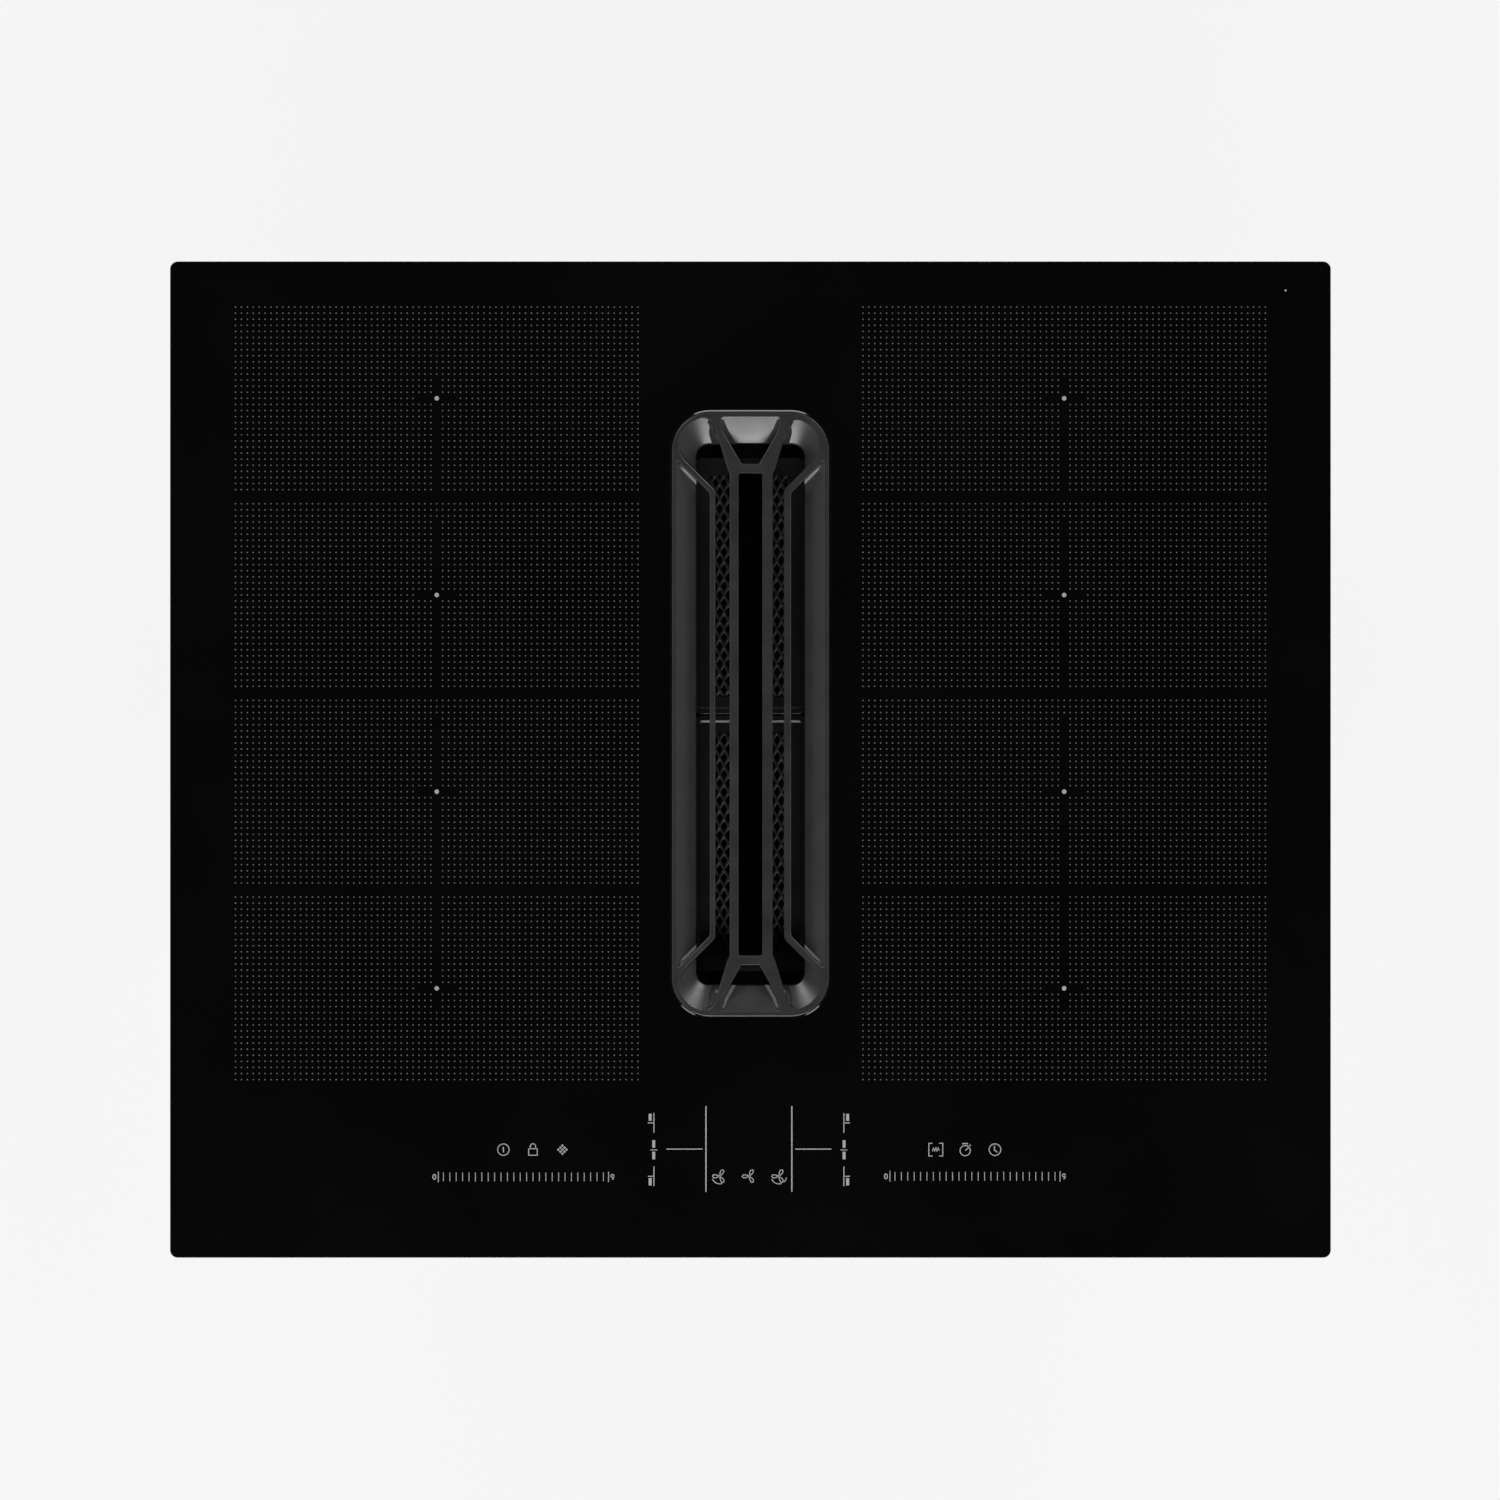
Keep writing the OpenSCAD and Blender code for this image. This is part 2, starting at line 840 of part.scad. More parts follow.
// Lifting strap on the end rim that faces away from the other filter
module filter_handle(side) {
    color("#5a5b5d")
    at_filter(side)
        translate([0, side * (filter_d - filter_rim) / 2, filter_h])
            difference() {
                translate([0, 0, (handle_rise + handle_t) / 2])
                    cube([handle_w, handle_leg, handle_rise + handle_t], center = true);
                translate([0, 0, handle_rise / 2 - cut / 2])
                    cube([handle_w - 2 * handle_t, handle_leg + 2 * cut, handle_rise + cut],
                         center = true);
            }
}

module intake_shaft() {
    color("#17181a")
    translate([0, intake_y, 0])
        difference() {
            translate([0, 0, shaft_bottom_z])
                round_slab(shaft_out_w, shaft_out_d, shaft_top_z - shaft_bottom_z, shaft_out_r);
            translate([0, 0, filter_z])
                round_slab(shaft_in_w, shaft_in_d, shaft_top_z - filter_z + cut, shaft_in_r);
            translate([0, 0, shaft_bottom_z - cut])
                round_slab(shaft_in_w, shaft_in_d, filter_z - shaft_ledge_t - shaft_bottom_z + cut,
                           shaft_in_r);
            translate([0, 0, filter_z - shaft_ledge_t - cut])
                round_slab(ledge_open_w, ledge_open_d, shaft_ledge_t + 2 * cut, ledge_open_r);
        }
}

module case_gasket() {
    color("#2a2a2a")
    translate([0, intake_y, plenum_top_z])
        difference() {
            round_ring(plenum_w + 2 * rim_reach, plenum_d + 2 * rim_reach, gasket_t,
                       plenum_r + rim_reach, rim_reach + case_wall);
            corner_bores(gasket_t);
        }
}

module drip_tray() {
    color("#26272a")
    translate([0, intake_y, drip_z]) {
        difference() {
            round_slab(drip_w - 2 * drip_lip, drip_d - 2 * drip_lip, drip_h, drip_r - drip_lip);
            translate([0, 0, drip_wall])
                round_slab(drip_w - 2 * (drip_lip + drip_wall), drip_d - 2 * (drip_lip + drip_wall),
                           drip_h, drip_r - drip_lip - drip_wall);
        }
        translate([0, 0, drip_h - drip_wall])
            round_ring(drip_w, drip_d, drip_wall, drip_r, drip_lip + drip_wall);
    }
}

// Rows of cooling slots under each blower
module floor_vents() {
    for (m = [-1, 1], i = [0 : vent_slot_count - 1])
        translate([m * coil_x + (i - (vent_slot_count - 1) / 2) * vent_slot_pitch, blower_y, tray_z])
            cube([vent_slot_w, vent_slot_d, 2 * tray_t + 2 * cut], center = true);
}

// Air outlet slots in the tray's front wall
module front_vents() {
    for (i = [0 : side_slot_count - 1])
        translate([(i - (side_slot_count - 1) / 2) * side_slot_pitch, -tray_d / 2,
                   tray_z + side_slot_rise])
            cube([side_slot_w, 2 * tray_t + 2 * cut, side_slot_h], center = true);
}

module base_tray() {
    color("#a9abad")
    difference() {
        translate([0, 0, tray_z])
            round_slab(tray_w, tray_d, tray_h, tray_r);
        translate([0, 0, tray_floor_z])
            round_slab(tray_w - 2 * tray_t, tray_d - 2 * tray_t, tray_h, tray_r - tray_t);
        translate([0, intake_y, tray_z - cut])
            round_slab(shaft_out_w + 2 * shaft_slot_play, shaft_out_d + 2 * shaft_slot_play,
                       tray_t + 2 * cut, shaft_out_r + shaft_slot_play);
        floor_vents();
        front_vents();
        side_screw_bores();
        translate([0, intake_y, tray_z])
            corner_bores(tray_t);
        for (p = clamp_places)
            translate([p[0] * clamp_x, p[1] * clamp_y, tray_z - cut])
                cylinder(r = screw_r + screw_play, h = tray_t + 2 * cut);
    }
}

// Bent aluminium plate that carries one side's coils on two folded legs
module coil_plate(side) {
    plate_w = coil_w + 2 * mica_margin;
    color("#c3c5c7")
    translate([side * coil_x, field_y, 0]) {
        translate([0, 0, coil_plate_z + coil_plate_t / 2])
            cube([plate_w, field_d, coil_plate_t], center = true);
        for (m = [-1, 1])
            translate([0, m * (field_d - coil_plate_leg_t) / 2, (coil_plate_z + tray_floor_z) / 2])
                cube([plate_w, coil_plate_leg_t, coil_plate_z - tray_floor_z], center = true);
    }
}

// Place of a coil, counted from the rear
module at_coil(side, index) {
    translate([side * coil_x, coil_y - index * coil_pitch, 0])
        children();
}

// Flat oval winding with grooves between its turns
module coil_winding(side, index) {
    turn = winding_w / (groove_count + 1);
    color("#b06b35")
    at_coil(side, index)
        translate([0, 0, winding_z])
            difference() {
                round_ring(coil_w, coil_d, winding_t, coil_d / 2 - least_r, winding_w);
                for (i = [1 : groove_count])
                    translate([0, 0, winding_t - groove_t])
                        round_ring(coil_w - 2 * i * turn + groove_w, coil_d - 2 * i * turn + groove_w,
                                   groove_t + cut, coil_d / 2 - least_r - i * turn + groove_w / 2,
                                   groove_w);
            }
}

// Moulded carrier for one side's windings, with a hub through each
module coil_carrier(side) {
    color("#e4dfd2") {
        for (i = [0 : coil_count - 1])
            at_coil(side, i)
                translate([0, 0, carrier_z]) {
                    round_slab(coil_w, coil_d, carrier_t, coil_d / 2 - least_r);
                    cylinder(r = coil_hub_r, h = carrier_t + winding_t);
                }
        translate([side * coil_x, field_y, carrier_z + carrier_t / 2])
            for (m = [-1, 0, 1])
                translate([m * coil_w / coil_count, 0, 0])
                    cube([ferrite_w, field_d - coil_d, carrier_t], center = true);
    }
}

module ferrite_bars(side) {
    color("#33353a")
    for (i = [0 : coil_count - 1], j = [0 : ferrite_count - 1])
        at_coil(side, i)
            translate([(j - (ferrite_count - 1) / 2) * ferrite_pitch, 0, ferrite_z + ferrite_t / 2])
                cube([ferrite_w, coil_d * ferrite_d_share, ferrite_t], center = true);
}

module mica_sheet(side) {
    color("#cfc7b0")
    translate([side * coil_x, field_y, mica_z + mica_t / 2])
        cube([coil_w + 2 * mica_margin, field_d, mica_t], center = true);
}

module power_board(side) {
    color("#2f6b45")
    translate([side * coil_x, board_y, 0]) {
        translate([0, 0, board_z + board_t / 2])
            cube([board_w, board_d, board_t], center = true);
        for (mx = [-1, 1], my = [-1, 1])
            translate([mx * (board_w / 2 - board_post_inset), my * (board_d / 2 - board_post_inset),
                       tray_floor_z])
                cylinder(r = board_post_r, h = board_post_h);
    }
}

module heat_sink(side) {
    pitch = (sink_w - sink_fin_t) / (sink_fin_count - 1);
    color("#bfc1c4")
    translate([side * (coil_x + sink_x), board_y, board_top_z]) {
        translate([0, 0, sink_base_t / 2])
            cube([sink_w, sink_d, sink_base_t], center = true);
        for (i = [0 : sink_fin_count - 1])
            translate([i * pitch - (sink_w - sink_fin_t) / 2, 0, sink_h / 2])
                cube([sink_fin_t, sink_d, sink_h], center = true);
    }
}

module board_capacitors() {
    color("#22304f")
    for (side = [-1, 1], i = [0 : cap_count - 1])
        translate([side * (coil_x + cap_x), board_y + i * cap_pitch, board_top_z])
            difference() {
                cylinder(r = cap_r, h = cap_h);
                translate([0, 0, cap_h - cap_bead_r])
                    rotate_extrude()
                        translate([cap_r, -cap_bead_r])
                            circle(r = cap_bead_r);
            }
}

module board_chokes() {
    color("#8c4a22")
    for (side = [-1, 1], i = [0 : choke_count - 1])
        translate([side * (coil_x + choke_x), board_y + choke_y + i * choke_pitch, board_top_z])
            tube(choke_r, choke_hole_r, choke_t);
}

// Moulded bar on posts that holds the touch board under the glass
module control_carrier() {
    pitch = (control_w - 2 * control_post_r) / (control_post_count - 1);
    color("#d8d8d4")
    translate([0, control_y, 0]) {
        translate([0, 0, control_z - control_bar_t / 2])
            cube([control_w, control_bar_d, control_bar_t], center = true);
        for (i = [0 : control_post_count - 1])
            translate([i * pitch - control_w / 2 + control_post_r, 0, tray_floor_z])
                cylinder(r = control_post_r, h = control_z - tray_floor_z);
    }
}

module control_board() {
    color("#1f5a3a")
    translate([0, control_y, control_z + board_t / 2])
        cube([control_w, control_d, board_t], center = true);
}

module touch_springs() {
    color("#c9b458")
    for (i = [0 : spring_count - 1])
        translate([(i - (spring_count - 1) / 2) * spring_pitch, control_y, glass_z - control_drop])
            tube(spring_r, spring_r - spring_wall, control_drop);
}

module cooling_housing(side) {
    color("#2b2c2e")
    translate([side * coil_x, blower_y, tray_floor_z])
        difference() {
            round_slab(blower_w, blower_w, blower_h, blower_r);
            translate([0, 0, blower_wall])
                difference() {
                    round_slab(blower_w - 2 * blower_wall, blower_w - 2 * blower_wall,
                               blower_h - 2 * blower_wall, blower_r - blower_wall);
                    cylinder(r = blower_pin_r, h = blower_h);
                }
            translate([0, 0, -cut])
                difference() {
                    cylinder(r = blower_eye_r, h = blower_wall + 2 * cut);
                    cube([2 * blower_eye_r, 2 * blower_pin_r, blower_h], center = true);
                    cube([2 * blower_pin_r, 2 * blower_eye_r, blower_h], center = true);
                }
            translate([0, -blower_w / 2, blower_h / 2])
                cube([blower_mouth_w, blower_wall * 2 + 2 * cut, blower_h - 2 * blower_wall],
                     center = true);
        }
}

module cooling_rotor(side) {
    color("#3d3e41")
    translate([side * coil_x, blower_y, tray_floor_z + blower_wall + rotor_gap])
        difference() {
            union() {
                cylinder(r = rotor_hub_r, h = rotor_h);
                translate([0, 0, rotor_h - rotor_plate_t])
                    cylinder(r = rotor_r, h = rotor_plate_t);
                for (i = [0 : rotor_blade_count - 1])
                    rotate([0, 0, i * 360 / rotor_blade_count])
                        translate([(rotor_r + rotor_hub_r) / 2 - blade_inset, 0, rotor_h / 2])
                            cube([rotor_r - rotor_hub_r, rotor_blade_t, rotor_h], center = true);
            }
            translate([0, 0, -cut])
                cylinder(r = blower_pin_r + blower_play, h = rotor_h + 2 * cut);
        }
}

module terminal_box() {
    color("#1a1a1c")
    translate([terminal_x, terminal_y, tray_z - terminal_h])
        difference() {
            union() {
                round_slab(terminal_w, terminal_d, terminal_h, terminal_r);
                translate([0, terminal_d / 2 - terminal_wall, terminal_h / 2])
                    rotate([-90, 0, 0])
                        cylinder(r = gland_r, h = gland_len + terminal_wall);
            }
            translate([0, 0, terminal_wall])
                round_slab(terminal_w - 2 * terminal_wall, terminal_d - 2 * terminal_wall,
                           terminal_h - 2 * terminal_wall, terminal_r - terminal_wall);
            translate([0, terminal_d / 2 - terminal_wall - cut, terminal_h / 2])
                rotate([-90, 0, 0])
                    cylinder(r = gland_bore_r, h = gland_len + terminal_wall + 2 * cut);
        }
}

// Scroll radius at an angle, drawn in by "inset"
function scroll_r(a, inset) =
    tongue_r + (scroll_r1 - tongue_r) * (a - tongue_angle) / (360 - tongue_angle) - inset;

outlet_x0 = outlet_x - duct_w / 2;
outlet_x1 = outlet_x + duct_w / 2;
tongue = [tongue_r * cos(tongue_angle), tongue_r * sin(tongue_angle)];
neck_y = outlet_y + fan_y - outlet_neck;
diffuser_run = [outlet_x0 - tongue[0], neck_y - tongue[1]];
diffuser_normal = [diffuser_run[1], -diffuser_run[0]] / norm(diffuser_run);

// Where the diffuser's slanted wall, drawn in by "inset", meets the straight neck
function neck_start_y(inset) =
    let (foot = tongue + diffuser_normal * inset)
    foot[1] + (outlet_x0 + inset - foot[0]) * diffuser_run[1] / diffuser_run[0];

// Plan of the scroll with its outlet, about the fan's centre; drawn in, it runs past the outlet
module scroll_outline(inset) {
    exit_y = outlet_y + fan_y + (inset > 0 ? cut : 0);
    circle(r = tongue_r - inset - cut);
    polygon(concat(
        [[0, 0]],
        [for (i = [0 : scroll_steps])
            let (a = tongue_angle + (360 - tongue_angle) * i / scroll_steps)
            scroll_r(a, inset) * [cos(a), sin(a)]]
    ));
    polygon([
        [0, 0],
        [scroll_r1 - inset, 0],
        [scroll_r1 - inset, scroll_flare_y],
        [outlet_x1 - inset, neck_y],
        [outlet_x1 - inset, exit_y],
        [outlet_x0 + inset, exit_y],
        [outlet_x0 + inset, neck_start_y(inset)],
        tongue + diffuser_normal * inset
    ]);
}

module case_bosses_outline() {
    for (a = boss_angles)
        rotate(a)
            translate([scroll_r(a, 0) + boss_reach, 0])
                circle(r = boss_r);
}

module case_boss_bores(h) {
    for (a = boss_angles)
        rotate(a)
            translate([scroll_r(a, 0) + boss_reach, 0, -cut])
                cylinder(r = screw_r + screw_play, h = h + 2 * cut);
}

module fan_case_lower() {
    color("#1c1c1e")
    translate([0, -fan_y, 0])
        difference() {
            union() {
                linear_extrude(height = case_top_z)
                    scroll_outline(0);
                translate([0, 0, case_top_z - boss_h])
                    linear_extrude(height = boss_h)
                        case_bosses_outline();
            }
            translate([0, 0, case_wall])
                linear_extrude(height = scroll_h + cut)
                    scroll_outline(case_wall);
            translate([0, 0, case_top_z - boss_h])
                case_boss_bores(boss_h);
        }
}

// Bores in the corners of the plenum's rim, through a height
module corner_bores(h) {
    for (mx = [-1, 1], my = [-1, 1])
        translate([mx * (plenum_w / 2 - plenum_boss_inset + case_wall),
                   my * (plenum_d / 2 - plenum_boss_inset + case_wall), -cut])
            cylinder(r = screw_r + screw_play, h = h + 2 * cut);
}

module plenum_corner_bosses() {
    for (mx = [-1, 1], my = [-1, 1])
        translate([mx * (plenum_w / 2 - plenum_boss_inset + case_wall),
                   my * (plenum_d / 2 - plenum_boss_inset + case_wall), plenum_top_z - plenum_boss_h])
            cylinder(r = boss_r + case_wall, h = plenum_boss_h);
}

module fan_case_upper() {
    color("#222225")
    difference() {
        union() {
            translate([0, -fan_y, case_top_z])
                linear_extrude(height = case_wall) {
                    scroll_outline(0);
                    case_bosses_outline();
                }
            translate([0, intake_y, 0]) {
                translate([0, 0, case_top_z])
                    round_slab(plenum_w, plenum_d, case_wall, plenum_r);
                translate([0, 0, case_top_z])
                    round_ring(plenum_w, plenum_d, plenum_top_z - case_top_z, plenum_r, case_wall);
                translate([0, 0, plenum_top_z - rim_h])
                    round_ring(plenum_w + 2 * rim_reach, plenum_d + 2 * rim_reach, rim_h,
                               plenum_r + rim_reach, rim_reach + case_wall);
                plenum_corner_bosses();
                drip_shelves();
            }
        }
        translate([0, -fan_y, case_top_z - cut])
            cylinder(r = bell_r + bell_flare, h = case_wall + 2 * cut);
        translate([0, -fan_y, case_top_z])
            case_boss_bores(case_wall);
        translate([0, intake_y, plenum_top_z - plenum_boss_h])
            corner_bores(plenum_boss_h);
    }
}

// Shelves on the plenum's end walls that carry the drip tray past the inlet bell
module drip_shelves() {
    wall_y = plenum_d / 2 - case_wall / 2;
    reach = wall_y - drip_d / 2 + shelf_reach;
    for (my = [-1, 1]) {
        translate([-shelf_w / 2, my > 0 ? wall_y - reach : -wall_y, drip_z - shelf_t])
            cube([shelf_w, reach, shelf_t]);
        translate([-shelf_w / 2, my > 0 ? wall_y - shelf_foot : -wall_y, plate_top_z - case_wall])
            cube([shelf_w, shelf_foot, shelf_h + case_wall]);
    }
}

// Flared inlet that guides the air from the plenum into the impeller
module inlet_bell() {
    top_z = plate_top_z + bell_t;
    arc_z = top_z - bell_flare;
    end_z = impeller_z + impeller_h - bell_gap;
    color("#2e2e31")
    translate([0, -fan_y, 0])
        rotate_extrude() {
            translate([bell_r + bell_flare, arc_z])
                intersection() {
                    difference() {
                        circle(r = bell_flare);
                        circle(r = bell_flare - bell_t);
                    }
                    translate([-bell_flare, 0])
                        square([bell_flare, bell_flare]);
                }
            translate([bell_r, end_z])
                square([bell_t, arc_z - end_z]);
            translate([bell_r + bell_flare, top_z - bell_t])
                square([bell_flange, bell_t]);
        }
}

// One bowed blade in plan
module blade_outline() {
    chord = impeller_r - blade_inset - blade_in_r;
    polygon([
        [0, 0],
        [chord / 2, blade_bow],
        [chord, 0],
        [chord, blade_t],
        [chord / 2, blade_bow + blade_t],
        [0, blade_t]
    ]);
}

module impeller() {
    color("#2a2b2e")
    translate([0, -fan_y, impeller_z])
        difference() {
            union() {
                tube(impeller_r, cup_r - cup_wall, back_t);
                cylinder(r = cup_r, h = cup_h);
                translate([0, 0, impeller_h - ring_t])
                    tube(impeller_r, impeller_r - ring_w, ring_t);
                for (i = [0 : blade_count - 1])
                    rotate([0, 0, i * 360 / blade_count])
                        translate([blade_in_r, 0, 0])
                            rotate([0, 0, blade_lean])
                                linear_extrude(height = impeller_h)
                                    blade_outline();
            }
            translate([0, 0, -cut])
                difference() {
                    cylinder(r = cup_r - cup_wall, h = cup_h - cup_wall + cut);
                    translate([0, 0, stator_h])
                        cylinder(r = cup_boss_r, h = cup_h);
                }
            cylinder(r = motor_shaft_r + running_play, h = cup_h + cut);
        }
}

module fan_motor() {
    color("#8d8f92")
    translate([0, -fan_y, case_wall]) {
        cylinder(r = motor_flange_r, h = motor_flange_t);
        cylinder(r = stator_r, h = stator_h);
        cylinder(r = motor_shaft_r, h = impeller_z - case_wall + cup_h);
    }
}

// Rectangle of a duct's outline in the plane of the outlet, extruded to the rear
module duct_block(w, h, len, r) {
    rotate([90, 0, 0])
        translate([0, 0, -len])
            round_slab(w, h, len, r);
}

module outlet_spigot() {
    centre_z = case_top_z / 2;
    plug_rise = case_wall / 2;
    plug_w = duct_w - 2 * case_wall - 2 * plug_play;
    plug_h = min(scroll_h, duct_h) - 2 * plug_play;
    len = spigot_end_y - outlet_y;
    color("#242427")
    difference() {
        translate([outlet_x, 0, centre_z]) {
            difference() {
                translate([0, outlet_y, 0])
                    duct_block(duct_w, duct_h, len, spigot_r);
                translate([0, outlet_y + stop_t, 0])
                    duct_block(duct_w - 2 * duct_wall, duct_h - 2 * duct_wall, len,
                               spigot_r - duct_wall);
                translate([0, outlet_y - cut, plug_rise])
                    duct_block(plug_w - 2 * (plug_wall + stop_lip), plug_h - 2 * (plug_wall + stop_lip),
                               len, least_r);
            }
            difference() {
                translate([0, outlet_y - plug_len, plug_rise])
                    duct_block(plug_w, plug_h, plug_len, least_r);
                translate([0, outlet_y - plug_len - cut, plug_rise])
                    duct_block(plug_w - 2 * plug_wall, plug_h - 2 * plug_wall,
                               plug_len + cut, least_r);
            }
        }
        translate([outlet_x0 - cut, flap_axis_y, flap_axis_z])
            rotate([0, 90, 0])
                cylinder(r = flap_pin_r + running_play, h = duct_w + 2 * cut);
    }
}

flap_axis_y = outlet_y + stop_t + flap_stop_gap + flap_setback;
flap_axis_z = case_top_z / 2 + duct_h / 2 - duct_wall - flap_pin_drop;

// Non-return flap that hangs from its own journals
module backflow_flap() {
    flap_w = duct_w - 2 * duct_wall - 2 * flap_play;
    bottom_z = case_top_z / 2 - duct_h / 2 + duct_wall + flap_play;
    color("#3a3b3e") {
        translate([outlet_x0, flap_axis_y, flap_axis_z])
            rotate([0, 90, 0])
                cylinder(r = flap_pin_r, h = duct_w);
        translate([outlet_x, flap_axis_y, (flap_axis_z + bottom_z) / 2])
            cube([flap_w, flap_t, flap_axis_z - bottom_z], center = true);
    }
}

// Flat arm on its pivot, stowed along the tray's side, with the jack screw backed off
module worktop_clamp(index) {
    place = clamp_places[index];
    color("#9b9da0")
    translate([place[0] * clamp_x, place[1] * clamp_y, clamp_z])
        rotate([0, 0, place[1] > 0 ? -90 : 90]) {
            difference() {
                linear_extrude(height = clamp_t) {
                    circle(r = clamp_w / 2);
                    translate([0, -clamp_w / 2])
                        square([clamp_len - clamp_w / 2, clamp_w]);
                }
                translate([0, 0, -cut])
                    cylinder(r = clamp_pin_r + running_play, h = clamp_t + 2 * cut);
                translate([clamp_len - clamp_w, 0, -cut])
                    cylinder(r = jack_r + jack_play, h = clamp_t + 2 * cut);
            }
            translate([clamp_len - clamp_w, 0, clamp_t + jack_tip - jack_len])
                cylinder(r = jack_r, h = jack_len);
            translate([clamp_len - clamp_w, 0, clamp_t + jack_tip - jack_len - screw_head_h])
                cylinder(r = screw_head_r, h = screw_head_h);
        }
}

// Pan-head screw, its head's underside at the origin and its shank down the z axis
module screw(len) {
    translate([0, 0, -len])
        cylinder(r = screw_r, h = len);
    cylinder(r = screw_head_r, h = screw_head_h);
}

module assembly_screws() {
    color("#c8cacc") {
        translate([0, 0, tray_top_z - side_screw_drop]) {
            for (s = side_screw_shares, m = [-1, 1])
                translate([m * tray_w / 2, s * tray_d, 0])
                    rotate([0, 90 * m, 0])
                        screw(screw_len);
            for (s = end_screw_shares, m = [-1, 1])
                translate([s * tray_w, m * tray_d / 2, 0])
                    rotate([-90 * m, 0, 0])
                        screw(screw_len);
        }
        translate([0, -fan_y, plate_top_z])
            for (a = boss_angles)
                rotate(a)
                    translate([scroll_r(a, 0) + boss_reach, 0, 0])
                        screw(screw_bite);
        for (mx = [-1, 1], my = [-1, 1])
            translate([mx * (plenum_w / 2 - plenum_boss_inset + case_wall),
                       intake_y + my * (plenum_d / 2 - plenum_boss_inset + case_wall), tray_floor_z])
                screw(screw_bite);
        for (p = clamp_places)
            translate([p[0] * clamp_x, p[1] * clamp_y, 0])
                clamp_pivot();
    }
}

// Shoulder screw that carries a clamp arm under the tray
module clamp_pivot() {
    translate([0, 0, clamp_z - clamp_head_gap - clamp_head_h])
        cylinder(r = clamp_head_r, h = clamp_head_h);
    translate([0, 0, clamp_z - clamp_head_gap])
        cylinder(r = clamp_pin_r, h = tray_z - clamp_z + clamp_head_gap);
    translate([0, 0, tray_z])
        cylinder(r = screw_r, h = screw_len);
}

glass_plate();
glass_adhesive();
glass_frame();
worktop_seal();
intake_collar();
grille();
grille_inlay();
grille_pads();
filter_frame(-1);  // filter_frame_front
filter_frame(1);  // filter_frame_rear
filter_mesh(-1);  // filter_mesh_front
filter_mesh(1);  // filter_mesh_rear
filter_handle(-1);  // filter_handle_front
filter_handle(1);  // filter_handle_rear
intake_shaft();
case_gasket();
drip_tray();
base_tray();
coil_plate(-1);  // coil_plate_left
coil_plate(1);  // coil_plate_right
coil_winding(-1, 0);  // coil_left_1
coil_winding(-1, 1);  // coil_left_2
coil_winding(-1, 2);  // coil_left_3
coil_winding(-1, 3);  // coil_left_4
coil_winding(1, 0);  // coil_right_1
coil_winding(1, 1);  // coil_right_2
coil_winding(1, 2);  // coil_right_3
coil_winding(1, 3);  // coil_right_4
coil_carrier(-1);  // coil_carrier_left
coil_carrier(1);  // coil_carrier_right
ferrite_bars(-1);  // ferrite_bars_left
ferrite_bars(1);  // ferrite_bars_right
mica_sheet(-1);  // mica_sheet_left
mica_sheet(1);  // mica_sheet_right
power_board(-1);  // power_board_left
power_board(1);  // power_board_right
heat_sink(-1);  // heat_sink_left
heat_sink(1);  // heat_sink_right
board_capacitors();
board_chokes();
control_carrier();
control_board();
touch_springs();
cooling_housing(-1);  // cooling_housing_left
cooling_housing(1);  // cooling_housing_right
cooling_rotor(-1);  // cooling_rotor_left
cooling_rotor(1);  // cooling_rotor_right
terminal_box();
fan_case_lower();
fan_case_upper();
inlet_bell();
impeller();
fan_motor();
outlet_spigot();
backflow_flap();
worktop_clamp(0);  // worktop_clamp_1
worktop_clamp(1);  // worktop_clamp_2
worktop_clamp(2);  // worktop_clamp_3
worktop_clamp(3);  // worktop_clamp_4
assembly_screws();
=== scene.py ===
# %% [markdown]
# # A downdraft induction cooktop
# The object is a black glass-ceramic cooktop with four cooking fields on each side and an
# extractor in the middle. Steam is drawn down through a cast grille, past two grease filters,
# into a fan that hangs under the worktop. The measured solids come in first, as a frame that
# never moves. The lesson then dresses them: it gives each one a finish, and where a solid is too
# plain it puts a finer mesh in the same place.

# %% Load the measured solids
import json
import math
import random

import bmesh
import bpy
from mathutils import Matrix, Vector


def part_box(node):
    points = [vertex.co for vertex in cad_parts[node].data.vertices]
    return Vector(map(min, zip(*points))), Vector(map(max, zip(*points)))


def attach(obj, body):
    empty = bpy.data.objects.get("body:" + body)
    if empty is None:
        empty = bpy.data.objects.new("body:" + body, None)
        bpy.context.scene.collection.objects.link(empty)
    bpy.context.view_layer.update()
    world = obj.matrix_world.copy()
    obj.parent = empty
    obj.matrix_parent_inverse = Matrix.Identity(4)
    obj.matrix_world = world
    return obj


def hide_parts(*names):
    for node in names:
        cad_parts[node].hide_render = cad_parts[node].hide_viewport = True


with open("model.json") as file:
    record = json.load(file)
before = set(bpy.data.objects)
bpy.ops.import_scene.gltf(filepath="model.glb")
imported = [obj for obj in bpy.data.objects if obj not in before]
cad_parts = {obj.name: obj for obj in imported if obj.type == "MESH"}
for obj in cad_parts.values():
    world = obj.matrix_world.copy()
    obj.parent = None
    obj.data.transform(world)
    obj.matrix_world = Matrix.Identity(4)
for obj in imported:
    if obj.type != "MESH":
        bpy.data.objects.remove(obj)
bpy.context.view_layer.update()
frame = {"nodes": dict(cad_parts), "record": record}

# %% [markdown]
# ## Working in millimetres
# Blender's unit is the metre, but a maker thinks of a cooktop in millimetres. Every size of the
# cooktop below is in millimetres, and MM turns it into metres where Blender asks for them. The
# levels come from the solids themselves, so a piece can't drift away from what carries it.

# %% Sizes read from the solids
MM = 0.001


def corners_mm(node):
    low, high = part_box(node)
    return low / MM, high / MM


